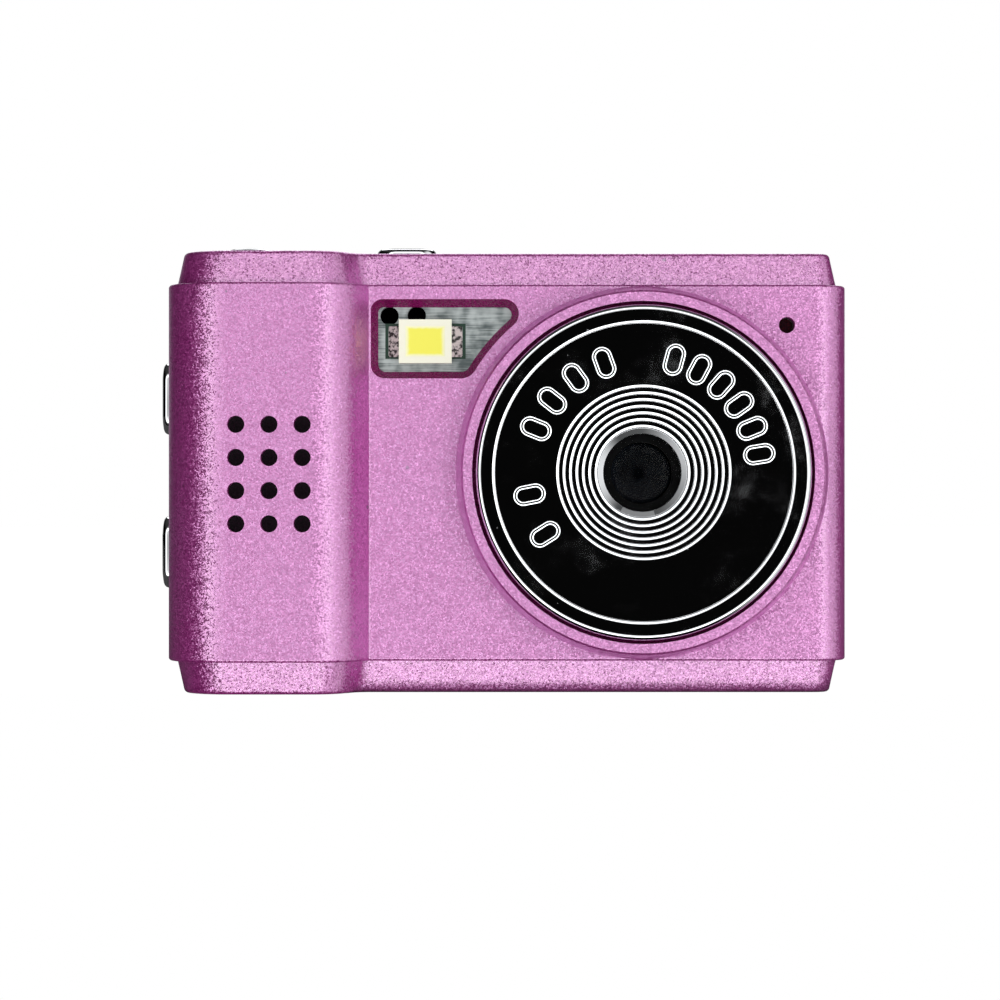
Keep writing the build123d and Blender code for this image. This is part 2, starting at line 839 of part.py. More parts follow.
def phosphor_box(y0):
    """Room of the phosphor, from y0 to its floor in the LED body."""
    floor = front_in - led_t + phosphor_deep
    x0 = led_x - phosphor_w / 2
    z0 = led_z - phosphor_h / 2
    return block(x0, x0 + phosphor_w, y0, floor, z0, z0 + phosphor_h)


def flash_led():
    """White body of the surface-mounted LED."""
    dx, dz = led_w / 2, led_h / 2
    body = block(led_x - dx, led_x + dx, front_in - led_t, front_in, led_z - dz, led_z + dz)
    return body - phosphor_box(front_in - led_t - 1)


def flash_phosphor():
    """Yellow phosphor cast into the LED body."""
    return phosphor_box(front_in - led_t + phosphor_sink)


def led_solder():
    """Solder fillets on both ends of the LED."""
    fillets = []
    for side in (-1, 1):
        x0 = led_x + side * led_w / 2
        x1 = x0 + side * solder_w
        outline_points = ((x0, 0), (x1, 0), (x0, solder_t))
        wedge = make_face(Polyline(*outline_points, close=True))
        plane = Plane(origin=(0, front_in, led_z - solder_h / 2), x_dir=(1, 0, 0), z_dir=(0, 0, 1))
        fillets.append(extrude(plane * mirror(wedge, Plane.XZ), solder_h))
    return Compound(children=fillets)


# ---------------------------------------------------------------- sound
def speaker():
    """Small oblong speaker in the grip."""
    face = facing_front(speaker_back, speaker_x, speaker_z)
    return extrude(face * RectangleRounded(speaker_w, speaker_h, speaker_w / 5), speaker_t)


def speaker_cloth():
    """Thin cloth between the speaker and the sound holes."""
    face = facing_front(speaker_front, speaker_x, speaker_z)
    return extrude(face * RectangleRounded(speaker_w - 1, speaker_h - 1, speaker_w / 6), cloth_t)


def speaker_pad():
    """Foam pad that presses the speaker forward off the battery."""
    face = facing_front(battery_front, speaker_x, speaker_z)
    return extrude(face * RectangleRounded(speaker_w - 1, speaker_h - 2, speaker_w / 6), pad_t)


def microphone():
    """Round electret capsule behind the single front hole."""
    y0 = front_in + boot_t
    return rod_y(mic_x, mic_z, mic_r, y0, y0 + mic_t)


def mic_boot():
    """Rubber boot that seals the capsule to the front wall."""
    y1 = front_in + boot_t + mic_t
    boot = rod_y(mic_x, mic_z, boot_r, front_in, y1)
    boot &= block(mic_x - boot_r, side_in - fit_gap, front_in, y1, mic_z - boot_r, band_high - fit_gap)
    boot -= rod_y(mic_x, mic_z, mic_r, front_in + boot_t, y1 + 1)
    return boot - rod_y(mic_x, mic_z, mic_hole_r, front_in - 1, y1)


# ---------------------------------------------------------------- battery
def battery():
    """Flat pouch cell behind the grip."""
    cell = block(*battery_x, battery_front, battery_back, *battery_z)
    return fillet(cell.edges().filter_by(Axis.Z), battery_r)


def battery_tray():
    """Moulded tray that holds the cell off the main board on three legs."""
    x0, x1 = battery_x
    z0, z1 = battery_z
    rim = tray_rim + tray_gap
    tray = block(x0 - rim, x1 + rim, battery_back - tray_lip, battery_back + tray_t, z0 - rim, z1 + rim)
    tray -= block(x0 - tray_gap, x1 + tray_gap, battery_front, battery_back, z0 - tray_gap, z1 + tray_gap)
    for x, z in tray_legs:
        tray += rod_y(x, z, tray_leg_r, battery_back + tray_t, board_front)
    return tray


# ---------------------------------------------------------------- display
def display_panel():
    """Display module, its glass against the rear shell's inner face."""
    dx, dz = panel_w / 2, panel_h / 2
    return block(-dx, dx, rear_in - panel_t, rear_in, mid_z - dz, mid_z + dz)


def display_frame():
    """Plastic frame that presses the display from the main board."""
    dx, dz = panel_w / 2 + panel_gap, panel_h / 2 + panel_gap
    ox, oz = dx + frame_wall, dz + frame_wall
    frame = block(-ox, ox, board_back, rear_in, mid_z - oz, mid_z + oz)
    frame -= block(-dx, dx, rear_in - panel_t, rear_in, mid_z - dz, mid_z + dz)
    ix, iz = dx - frame_shelf, dz - frame_shelf
    return frame - block(-ix, ix, board_back, rear_in, mid_z - iz, mid_z + iz)


def screen_window():
    """Clear cover over the display, set into the rear shell."""
    middle = facing_front(rear - screen_sink + screen_t, 0, mid_z)
    plate = extrude(middle * RectangleRounded(screen_w, screen_h, screen_r), screen_t)
    return chamfer(plate.faces().sort_by(Axis.Y)[-1].edges(), fit_gap)


def status_light():
    """Clear light pipe in the rear shell, flanged inside."""
    pipe = rod_y(status_x, status_z, status_r, rear_in, rear)
    return pipe + rod_y(status_x, status_z, status_flange_r, rear_in - status_flange_t, rear_in)


def status_led():
    """Indicator LED on the main board under the light pipe."""
    half = status_r
    tall = rear_in - status_flange_t - board_back - fit_gap
    return block(status_x - half, status_x + half, board_back, board_back + tall / 2,
                 status_z - half, status_z + half)


# ---------------------------------------------------------------- buttons and switches
def button(name):
    """Chromed button with its retaining flange inside the wall."""
    plane, size, proud = button_sites[name]
    stem = extrude(plane.offset(-wall) * pill(size, 0), wall + proud)
    axis = Axis(plane.origin, plane.z_dir)
    stem = fillet(stem.faces().sort_by(axis)[-1].edges(), button_edge_r)
    flange = extrude(plane.offset(-wall - flange_gap - flange_t) * pill(size, flange_out), flange_t)
    neck = extrude(plane.offset(-wall - flange_gap) * pill(size, 0), flange_gap + fit_gap)
    return stem + flange + neck


def switch_plane(name):
    """Plane on the front face of a button's switch housing."""
    plane, _, _ = button_sites[name]
    return plane.offset(-wall - flange_gap - flange_t - switch_back)


def switch(name):
    """Housing of a side-push switch on the main board, with the plunger's pocket."""
    plane = switch_plane(name)
    shift = board_front - switch_h / 2 - button_y
    section = turned_to_y(name, switch_w, switch_h, shift)
    housing = extrude(plane * section, -switch_d)
    pocket = turned_to_y(name, plunger_w + 2 * plunger_gap, plunger_t + 2 * plunger_gap, 0)
    return housing - extrude(plane * pocket, -pocket_in)


def turned_to_y(name, across, deep, shift):
    """Rectangle on a button's plane: deep along Y, moved by shift along +Y."""
    plane, _, _ = button_sites[name]
    sign = 1 if plane.y_dir.Y > 0 else -1
    return Pos(0, sign * shift) * Rectangle(across, deep)


def plunger(name):
    """Switch plunger between the button's flange and the switch."""
    plane = switch_plane(name)
    section = turned_to_y(name, plunger_w, plunger_t, 0)
    return extrude(plane.offset(-plunger_in) * section, plunger_in + switch_back)


# ---------------------------------------------------------------- leads
lead_bend = 0.9
battery_lead_z = (battery_z[0] + 1.2, battery_z[0] + 2.1)
speaker_lead_x = (speaker_x + 1.1, speaker_x + 2.0)
speaker_lead_z = battery_z[0] - 1.2
led_lead_x = (led_board_x[1] - 1.5, led_board_x[1] - 0.6)
led_lead_z = flash_top - 0.7
mic_lead_z = (mic_z - 0.5, mic_z + 0.3)
mic_lead_x = mic_x - 3.52
battery_lead_out = 1.7


def battery_lead(z):
    """Lead from the cell's right end back to the main board."""
    x0 = battery_x[1] + tray_rim + tray_gap
    y0 = battery_front + battery_t / 4
    x1 = x0 + battery_lead_out
    return lead((battery_x[1], y0, z), (x1, y0, z), (x1, board_front, z), bend=lead_bend)


def speaker_leads():
    """Two leads from under the speaker, below the cell, back to the main board."""
    y0 = (speaker_front + speaker_back) / 2
    wires = []
    z0, z1 = speaker_z - speaker_h / 2, speaker_lead_z
    for x in speaker_lead_x:
        wires.append(lead((x, y0, z0), (x, y0, z1), (x, board_front, z1), bend=lead_bend))
    return Compound(children=wires)


def led_leads():
    """Two leads from the LED board back to the main board."""
    y0 = front_in + led_board_t
    wires = [rod_y(x, led_lead_z, lead_r, y0, board_front) for x in led_lead_x]
    return Compound(children=wires)


def mic_leads():
    """Two leads from the capsule, round the socket, back to the main board."""
    y0 = front_in + boot_t + mic_t
    y1 = (y0 + board_front) / 2 - mic_r
    wires = []
    for z in mic_lead_z:
        wires.append(lead((mic_x, y0, z), (mic_x, y1, z), (mic_lead_x, y1, z), (mic_lead_x, board_front, z),
                          bend=lead_bend))
    return Compound(children=wires)


# ---------------------------------------------------------------- write every piece
pieces = {
    "front_cover": front_cover(),
    "rear_cover": rear_cover(),
    "case_screws": case_screws(),
    "strap_pin": strap_pin(),
    "lens_bezel": lens_bezel(),
    "lens_window": lens_window(),
    "lens_barrel": lens_barrel(),
    "front_lens": front_lens(),
    "lens_spacer": lens_spacer(),
    "rear_lens": rear_lens(),
    "lens_holder": lens_holder(),
    "infrared_filter": infrared_filter(),
    "image_sensor": image_sensor(),
    "sensor_board": sensor_board(),
    "module_screws": module_screws(),
    "camera_flex": camera_flex(),
    "camera_connector": camera_connector(),
    "main_board": main_board(),
    "processor_chip": processor_chip(),
    "memory_chip": memory_chip(),
    "crystal": crystal(),
    "chip_capacitors": chip_capacitors(),
    "usb_socket": usb_socket(),
    "usb_tongue": usb_tongue(),
    "card_socket": card_socket(),
    "led_board": led_board(),
    "flash_led": flash_led(),
    "flash_phosphor": flash_phosphor(),
    "led_solder": led_solder(),
    "led_leads": led_leads(),
    "speaker": speaker(),
    "speaker_cloth": speaker_cloth(),
    "speaker_pad": speaker_pad(),
    "speaker_leads": speaker_leads(),
    "microphone": microphone(),
    "mic_boot": mic_boot(),
    "mic_leads": mic_leads(),
    "battery": battery(),
    "battery_tray": battery_tray(),
    "battery_lead_red": battery_lead(battery_lead_z[1]),
    "battery_lead_black": battery_lead(battery_lead_z[0]),
    "display_panel": display_panel(),
    "display_frame": display_frame(),
    "screen_window": screen_window(),
    "status_light": status_light(),
    "status_led": status_led(),
}
for site in button_sites:
    pieces[site + "_button"] = button(site)
    pieces[site + "_switch"] = switch(site)
    pieces[site + "_plunger"] = plunger(site)

os.makedirs("parts", exist_ok=True)
for name, piece in pieces.items():
    export_step(piece, "parts/" + name + ".step")
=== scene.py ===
"""Compact digital camera: finishes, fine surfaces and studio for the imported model.

Lengths in the dataclasses are millimetres; meshes are written in metres in the model's own frame
(+X right seen from the front, the front faces -Y, +Z up, base on z = 0).
"""
import json
import logging
from dataclasses import dataclass
from enum import Enum
from typing import Sequence

import bmesh
import bpy
import numpy as np
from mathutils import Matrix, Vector


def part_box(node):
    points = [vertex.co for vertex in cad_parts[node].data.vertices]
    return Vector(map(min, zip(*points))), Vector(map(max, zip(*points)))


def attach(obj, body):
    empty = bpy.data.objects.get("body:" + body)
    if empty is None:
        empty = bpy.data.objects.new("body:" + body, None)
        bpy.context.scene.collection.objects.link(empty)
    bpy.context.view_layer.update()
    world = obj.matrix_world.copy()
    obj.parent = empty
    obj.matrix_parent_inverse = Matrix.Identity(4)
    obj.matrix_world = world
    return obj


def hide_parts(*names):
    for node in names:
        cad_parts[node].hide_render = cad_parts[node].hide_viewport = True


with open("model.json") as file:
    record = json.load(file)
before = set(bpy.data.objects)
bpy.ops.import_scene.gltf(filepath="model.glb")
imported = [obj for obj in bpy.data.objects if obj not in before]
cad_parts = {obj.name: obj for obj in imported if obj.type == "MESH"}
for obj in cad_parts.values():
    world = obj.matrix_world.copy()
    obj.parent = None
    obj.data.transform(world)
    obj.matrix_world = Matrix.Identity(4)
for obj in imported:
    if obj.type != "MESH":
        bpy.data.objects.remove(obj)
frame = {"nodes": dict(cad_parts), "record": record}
log = logging.getLogger("camera")

MM = 0.001
WELD = 1e-7             # metres; points nearer than this are one
FLAT = 1e-8             # metres; faces and edges smaller than this go
Colour = tuple[float, float, float]
Socket = bpy.types.NodeSocket
Node = bpy.types.Node


# ------------------------------------------------------------------ numpy surfaces
def span(low: float, high: float, count: int) -> np.ndarray:
    """Evenly spaced values from low to high, both included."""
    return np.linspace(low, high, count)


def turn(count: int) -> np.ndarray:
    """Angles of one full turn, without repeating the first."""
    return np.linspace(0.0, 2.0 * np.pi, count, endpoint=False)


def grid_quads(rows: int, columns: int) -> np.ndarray:
    """Point numbers (rows, columns, 4) of the quads of a grid that wraps both ways."""
    index = np.arange(rows * columns).reshape(rows, columns)
    below = np.roll(index, -1, axis=0)
    beside = np.roll(index, -1, axis=1)
    return np.stack((index, beside, np.roll(below, -1, axis=1), below), axis=-1)


def grid_piece(name: str, points: np.ndarray, wrap_rows: bool, wrap_columns: bool) -> bpy.types.Object:
    """Makes one smooth piece from a grid of points.

    A wrapped direction joins its last point back to its first. Points that coincide, as at a pole,
    are merged.

    Args:
        name: object name.
        points: array of shape (rows, columns, 3) in millimetres.
        wrap_rows: joins the last row to the first.
        wrap_columns: joins the last column to the first.
    """
    rows, columns = points.shape[:2]
    quads = grid_quads(rows, columns)
    quads = quads[: rows if wrap_rows else rows - 1, : columns if wrap_columns else columns - 1]
    return quads_piece(name, points.reshape(-1, 3), quads.reshape(-1, 4))


def quads_piece(name: str, points: np.ndarray, quads: np.ndarray) -> bpy.types.Object:
    """Makes a piece from points in millimetres and quads, merged, with outward normals."""
    mesh = bpy.data.meshes.new(name)
    mesh.vertices.add(len(points))
    mesh.vertices.foreach_set("co", (points * MM).astype(np.float32).ravel())
    mesh.loops.add(quads.size)
    mesh.loops.foreach_set("vertex_index", quads.astype(np.int32).ravel())
    mesh.polygons.add(len(quads))
    mesh.polygons.foreach_set("loop_start", np.arange(0, quads.size, 4, dtype=np.int32))
    mesh.update(calc_edges=True)
    mesh.validate()
    work = bmesh.new()
    work.from_mesh(mesh)
    bmesh.ops.remove_doubles(work, verts=work.verts, dist=WELD)
    bmesh.ops.dissolve_degenerate(work, edges=work.edges, dist=FLAT)
    bmesh.ops.recalc_face_normals(work, faces=work.faces)
    work.to_mesh(mesh)
    work.free()
    mesh.polygons.foreach_set("use_smooth", np.ones(len(mesh.polygons), dtype=bool))
    piece = bpy.data.objects.new(name, mesh)
    bpy.context.scene.collection.objects.link(piece)
    return piece


def rounded_path(corners: Sequence[tuple[float, float]], radii: Sequence[float], steps: int,
                 closed: bool = True, hold: float = 0.012) -> np.ndarray:
    """Rounds the corners of a path of straight runs with tangent arcs.

    At each corner the arc's centre lies on the bisector at radius / sin(half the inside angle) from
    the corner, and the arc turns from one run's normal to the other's. A radius of 0 keeps the corner.
    A holding point just outside each end of an arc keeps the flats beside it flat when shaded.

    Args:
        corners: points of the path.
        radii: one radius for each corner.
        steps: points on each arc.
        closed: joins the last corner to the first; otherwise both ends stay as they are.
        hold: distance of the holding points from the arc's ends, 0 for none.

    Returns:
        Array of shape (points, 2).
    """
    points = np.asarray(corners, dtype=float)
    count = len(points)
    out = []
    for i, radius in enumerate(radii):
        here = points[i]
        if radius <= 0.0 or (not closed and i in (0, count - 1)):
            out.append(here[None])
            continue
        back = points[i - 1] - here
        on = points[(i + 1) % count] - here
        back /= np.linalg.norm(back)
        on /= np.linalg.norm(on)
        half = np.arccos(np.clip(back @ on, -1.0, 1.0)) / 2.0
        centre = here + (back + on) / np.linalg.norm(back + on) * radius / np.sin(half)
        start = here + back * radius / np.tan(half) - centre
        stop = here + on * radius / np.tan(half) - centre
        sweep = np.arctan2(start[0] * stop[1] - start[1] * stop[0], start @ stop)
        angle = span(0.0, sweep, steps)
        across = np.array((-start[1], start[0]))
        arc = centre + np.cos(angle)[:, None] * start + np.sin(angle)[:, None] * across
        if hold > 0.0:
            arc = np.concatenate((arc[:1] + back * hold, arc, arc[-1:] + on * hold))
        out.append(arc)
    return np.concatenate(out)


def revolve(name: str, profile: np.ndarray, centre: tuple[float, float], count: int) -> bpy.types.Object:
    """Turns a closed profile about an axis along Y.

    A point at angle a is centre x + r cos a, y, centre z + r sin a, for each (r, y) of the profile.
    The centre is the axis's x and z, and the count is the segments round it.
    """
    angle = turn(count)[None, :]
    radius = profile[:, :1]
    x = centre[0] + radius * np.cos(angle)
    z = centre[1] + radius * np.sin(angle)
    y = np.broadcast_to(profile[:, 1:], x.shape)
    return grid_piece(name, np.stack((x, y, z), axis=-1), True, True)


def stadium(long: float, wide: float, count: int) -> tuple[np.ndarray, np.ndarray]:
    """Stadium centre line and outward directions, for outlines that shrink evenly.

    The outline at distance d from the middle segment is segment point + d * direction, with the
    direction turning once round; directions over 0 carry the right end of the segment. The count of
    points is a multiple of 4. Segment points and unit directions, both (count, 2), are returned.
    """
    angle = turn(count) + np.pi / count
    direction = np.stack((np.cos(angle), np.sin(angle)), axis=-1)
    middle = np.stack((np.sign(direction[:, 0]) * (long - wide) / 2.0, np.zeros(count)), axis=-1)
    return middle, direction


@dataclass(frozen=True)
class Place:
    """Local axes of a small part: origin in millimetres, and unit vectors along, across and out."""
    origin: tuple[float, float, float]
    along: tuple[float, float, float]
    across: tuple[float, float, float]
    out: tuple[float, float, float]

    def carry(self, u: np.ndarray, v: np.ndarray, w: np.ndarray) -> np.ndarray:
        """Points at u along, v across and w out of the place."""
        parts = (u[..., None] * self.along, v[..., None] * self.across, w[..., None] * self.out)
        return np.asarray(self.origin) + sum(np.asarray(part) for part in parts)


def box_mm(node: str) -> tuple[np.ndarray, np.ndarray]:
    """Lowest and highest corner of a model node, in millimetres."""
    low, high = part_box(node)
    return np.array(low) / MM, np.array(high) / MM


# ------------------------------------------------------------------ shader trees
class Tree:
    """Adds nodes to a node tree and links them."""

    def __init__(self, tree: bpy.types.NodeTree) -> None:
        """Keeps the tree that nodes are added to."""
        self.tree = tree

    def add(self, kind: str, label: str = "", **settings: object) -> Node:
        """Adds a node of a kind and sets its properties."""
        node = self.tree.nodes.new(kind)
        node.label = label
        for key, value in settings.items():
            setattr(node, key, value)
        return node

    def link(self, source: Socket, target: Socket) -> None:
        """Joins an output to an input."""
        self.tree.links.new(source, target)

    def feed(self, target: Socket, value: Socket | float | Sequence[float]) -> None:
        """Joins a socket to an input, or sets the input to a value."""
        if isinstance(value, bpy.types.NodeSocket):
            self.link(value, target)
        else:
            target.default_value = value

    def settle(self, node: Node, **values: Socket | float | Sequence[float]) -> Node:
        """Feeds a node's inputs by name, with an underscore for each space, and returns the node."""
        for name, value in values.items():
            self.feed(node.inputs[name.replace("_", " ")], value)
        return node

    def pair(self, node: Node, first: Socket | float | Sequence[float],
             second: Socket | float | Sequence[float]) -> Socket:
        """Feeds a node's first two inputs and returns its result."""
        self.feed(node.inputs[0], first)
        self.feed(node.inputs[1], second)
        return node.outputs[0]

    def math(self, operation: str, first: Socket | float, second: Socket | float = 0.0) -> Socket:
        """Adds a math node on two values or sockets and returns its result."""
        return self.pair(self.add("ShaderNodeMath", operation=operation), first, second)

    def vector(self, operation: str, first: Socket | Sequence[float],
               second: Socket | Sequence[float] = (0.0, 0.0, 0.0)) -> Socket:
        """Adds a vector math node on two vectors or sockets and returns its result."""
        return self.pair(self.add("ShaderNodeVectorMath", operation=operation), first, second)

    def half_each(self, first: Socket, second: Socket) -> Socket:
        """Mean of two values."""
        return self.math("ADD", self.math("MULTIPLY", first, 0.5), self.math("MULTIPLY", second, 0.5))

    def scale(self, vector: Socket, factor: Socket) -> Socket:
        """Multiplies a vector by a value and returns the result."""
        node = self.add("ShaderNodeVectorMath", operation="SCALE")
        self.feed(node.inputs[0], vector)
        return self.settle(node, Scale=factor).outputs[0]

    def parts(self, kind: str, source: Socket) -> Sequence[Socket]:
        """Splits a vector (kind XYZ) or a colour (kind Color) into its three values."""
        node = self.add("ShaderNodeSeparate" + kind)
        self.link(source, node.inputs[0])
        return node.outputs

    def remap(self, value: Socket, low: float, high: float, to_low: float, to_high: float,
              kind: str = "SMOOTHSTEP") -> Socket:
        """Maps a value from one range to another, clamped, and smooth at both ends unless LINEAR."""
        node = self.add("ShaderNodeMapRange", interpolation_type=kind)
        return self.settle(node, Value=value, From_Min=low, From_Max=high, To_Min=to_low,
                           To_Max=to_high).outputs["Result"]

    def mix(self, factor: Socket, first: Socket | Colour, second: Socket | Colour) -> Socket:
        """Mixes two colours by a factor and returns the result."""
        node = self.settle(self.add("ShaderNodeMix", data_type="RGBA"), Factor=factor)
        for socket, value in zip(node.inputs[6:8], (first, second)):
            self.feed(socket, (*value, 1.0) if isinstance(value, tuple) else value)
        return node.outputs[2]

    def by_ray(self, other: Socket, seen: Socket, share: float = 1.0) -> Socket:
        """Mixes two shaders: a share of the second for camera rays, the first for all others."""
        mix = self.add("ShaderNodeMixShader")
        ray = self.add("ShaderNodeLightPath").outputs["Is Camera Ray"]
        for socket, value in zip(mix.inputs, (self.math("MULTIPLY", ray, share), other, seen)):
            self.link(value, socket)
        return mix.outputs[0]

    def group(self, group: bpy.types.NodeTree, place: Socket, size: float) -> Node:
        """Adds a texture's or the flakes' node group at a place and a size in millimetres."""
        return self.settle(self.add("ShaderNodeGroup", node_tree=group), Position=place, Size=size)


class Texture(Enum):
    """Surface textures, each a node group that turns a position into a mask and a height."""
    MOULDED = "moulded_grain"
    BRUSHED = "brushed_lines"
    WOVEN = "woven_threads"
    CRUMPLED = "crumpled_foil"
    OPEN_CELL = "open_cell_foam"
    SMUDGED = "smudges_and_dust"
    STREAKED = "lengthwise_streaks"


def noise(tree: Tree, place: Socket, scale: float, detail: float = 3.0, roughness: float = 0.5) -> Socket:
    """Adds a noise texture at a place and returns its value."""
    node = tree.settle(tree.add("ShaderNodeTexNoise"), Vector=place, Scale=scale, Detail=detail,
                       Roughness=roughness)
    return node.outputs["Fac"]


def cells(tree: Tree, place: Socket, scale: float, feature: str = "F1") -> Node:
    """Adds a Voronoi texture at a place and returns the node."""
    return tree.settle(tree.add("ShaderNodeTexVoronoi", feature=feature), Vector=place, Scale=scale)


def texture_nodes(texture: Texture, tree: Tree, place: Socket) -> tuple[Socket, Socket]:
    """Builds one texture at unit size.

    MOULDED is fine spark-eroded grain, noise on noise. BRUSHED is noise drawn out along X. WOVEN is
    the larger of two crossed sine waves. CRUMPLED is the distance to the edges of large cells.
    OPEN_CELL is the distance to cell centres. SMUDGED is soft clouds with sparse round specks.
    STREAKED is fine noise drawn out along X over soft clouds. The mask and the height are returned.
    """
    if texture is Texture.MOULDED:
        fine = noise(tree, place, 1.0, 2.0, 0.6)
        broad = noise(tree, place, 0.06, 2.0)
        return tree.half_each(fine, broad), fine
    if texture in (Texture.BRUSHED, Texture.STREAKED):
        long = tree.vector("MULTIPLY", place, (0.03, 1.0, 1.0))
        fine = noise(tree, long, 1.0, 2.0, 0.7)
        cloud = noise(tree, place, 0.05 if texture is Texture.BRUSHED else 0.12, 2.0)
        return tree.remap(tree.half_each(fine, cloud), 0.36, 0.64, 0.0, 1.0), fine
    if texture is Texture.WOVEN:
        axes = tree.parts("XYZ", place)
        warp, weft = (tree.math("SINE", tree.math("MULTIPLY", axes[at], 6.283)) for at in (0, 2))
        top = tree.math("MAXIMUM", warp, weft)
        return tree.math("ADD", tree.math("MULTIPLY", top, 0.5), 0.5), top
    if texture is Texture.CRUMPLED:
        edge = cells(tree, place, 1.0, "DISTANCE_TO_EDGE").outputs["Distance"]
        soft = noise(tree, place, 0.7, 3.0)
        height = tree.math("ADD", tree.math("MULTIPLY", edge, 0.5), soft)
        return tree.remap(soft, 0.38, 0.60, 0.0, 1.0), height
    if texture is Texture.OPEN_CELL:
        deep = cells(tree, place, 1.0).outputs["Distance"]
        return tree.remap(deep, 0.1, 0.6, 1.0, 0.0), deep
    cloud = noise(tree, place, 0.12, 4.0, 0.65)
    specks = cells(tree, place, 0.9)
    near = tree.math("LESS_THAN", specks.outputs["Distance"], 0.10)
    rare = tree.math("GREATER_THAN", tree.parts("Color", specks.outputs["Color"])[0], 0.93)
    dot = tree.math("MULTIPLY", near, rare)
    return tree.math("MAXIMUM", tree.remap(cloud, 0.5, 0.75, 0.0, 0.55), dot), cloud


def start_group(name: str, sockets: Sequence[tuple[str, str, str]]) -> tuple[Tree, Node, Node, Socket]:
    """Starts a node group with a Position, a Size (mm) and further sockets (label, kind, direction).

    The tree, its input and output nodes, and the position in units of the size are returned.
    """
    group = bpy.data.node_groups.new(name, "ShaderNodeTree")
    for label, kind, way in (("Position", "Vector", "INPUT"), ("Size", "Float", "INPUT"), *sockets):
        group.interface.new_socket(label, in_out=way, socket_type="NodeSocket" + kind)
    tree = Tree(group)
    given = tree.add("NodeGroupInput")
    result = tree.add("NodeGroupOutput")
    scale = tree.math("DIVIDE", 1.0 / MM, given.outputs["Size"])
    return tree, given, result, tree.scale(given.outputs["Position"], scale)


def texture_group(texture: Texture) -> bpy.types.NodeTree:
    """Makes or finds a texture's node group: Position and Size (mm) in, Mask and Height out."""
    if texture.value in bpy.data.node_groups:
        return bpy.data.node_groups[texture.value]
    sockets = (("Mask", "Float", "OUTPUT"), ("Height", "Float", "OUTPUT"))
    tree, _, result, place = start_group(texture.value, sockets)
    mask, height = texture_nodes(texture, tree, place)
    tree.settle(result, Mask=mask, Height=height)
    return tree.tree


def flake_group() -> bpy.types.NodeTree:
    """Makes or finds the metal flake group: Position, Size (mm) and Tilt in, Tone and Normal out.

    Each Voronoi cell is one flake. Tone is the mean of the flake's own random value and a fine noise,
    and Normal is the surface normal tipped by the flake's random direction times Tilt.
    """
    name = "metal_flake"
    if name in bpy.data.node_groups:
        return bpy.data.node_groups[name]
    sockets = (("Tilt", "Float", "INPUT"), ("Tone", "Float", "OUTPUT"), ("Normal", "Vector", "OUTPUT"))
    tree, given, result, place = start_group(name, sockets)
    flakes = cells(tree, place, 1.0).outputs["Color"]
    fine = noise(tree, place, 1.7, 2.0, 0.6)
    middle = tree.vector("SUBTRACT", flakes, (0.5, 0.5, 0.5))
    surface = tree.add("ShaderNodeNewGeometry").outputs["Normal"]
    tipped = tree.vector("ADD", surface, tree.scale(middle, given.outputs["Tilt"]))
    tree.settle(result, Tone=tree.half_each(tree.parts("Color", flakes)[0], fine),
                Normal=tree.vector("NORMALIZE", tipped))
    return tree.tree


# ------------------------------------------------------------------ finishes
def new_material(name: str) -> tuple[bpy.types.Material, Tree, Node, Socket]:
    """Makes a material and returns it with its tree, Principled shader and object position."""
    material = bpy.data.materials.new(name)
    material.use_nodes = True
    tree = Tree(material.node_tree)
    shader = material.node_tree.nodes["Principled BSDF"]
    place = tree.add("ShaderNodeTexCoord").outputs["Object"]
    return material, tree, shader, place


@dataclass(frozen=True)
class Coating:
    """Finish of one record slot. Colours are linear and sizes are millimetres."""
    name: str
    slot: str

    def material(self) -> bpy.types.Material:
        """Finds the finish's material, or makes it the first time."""
        found = bpy.data.materials.get(self.name)
        if found:
            return found
        material, tree, shader, place = new_material(self.name)
        self.dress(tree, shader, place)
        return material

    def dress(self, tree: Tree, shader: Node, place: Socket) -> None:
        """Adds the finish's own nodes and values to its shader, at the object position."""
        raise NotImplementedError


@dataclass(frozen=True)
class Finish(Coating):
    """Opaque finish: two colours, two roughnesses and a relief that follow one texture."""
    texture: Texture
    colour: Colour
    marked: Colour
    size: float = 0.1
    relief: float = 0.004
    rough: float = 0.45
    rough_marked: float = 0.6
    metallic: float = 0.0
    coat: float = 0.0
    coat_rough: float = 0.1
    sheen: float = 0.5

    def dress(self, tree: Tree, shader: Node, place: Socket) -> None:
        """Adds this finish's nodes and values to its shader."""
        group = tree.group(texture_group(self.texture), place, self.size)
        mask = group.outputs["Mask"]
        bump = tree.settle(tree.add("ShaderNodeBump"), Height=group.outputs["Height"],
                           Distance=self.relief * MM)
        tree.settle(shader, Base_Color=tree.mix(mask, self.colour, self.marked),
                    Normal=bump.outputs["Normal"],
                    Roughness=tree.remap(mask, 0.0, 1.0, self.rough, self.rough_marked, "LINEAR"),
                    Metallic=self.metallic, Coat_Weight=self.coat, Coat_Roughness=self.coat_rough,
                    Specular_IOR_Level=self.sheen)


@dataclass(frozen=True)
class ClearFinish(Coating):
    """Transparent finish with faint dust in its roughness."""
    tint: Colour
    rough: float = 0.02
    rough_dust: float = 0.08
    index: float = 1.49
    size: float = 0.3

    def dress(self, tree: Tree, shader: Node, place: Socket) -> None:
        """Adds this finish's nodes and values to its shader."""
        mask = tree.group(texture_group(Texture.SMUDGED), place, self.size).outputs["Mask"]
        tree.settle(shader, Roughness=tree.remap(mask, 0.0, 1.0, self.rough, self.rough_dust, "LINEAR"),
                    Base_Color=(*self.tint, 1.0), Transmission_Weight=1.0, IOR=self.index)


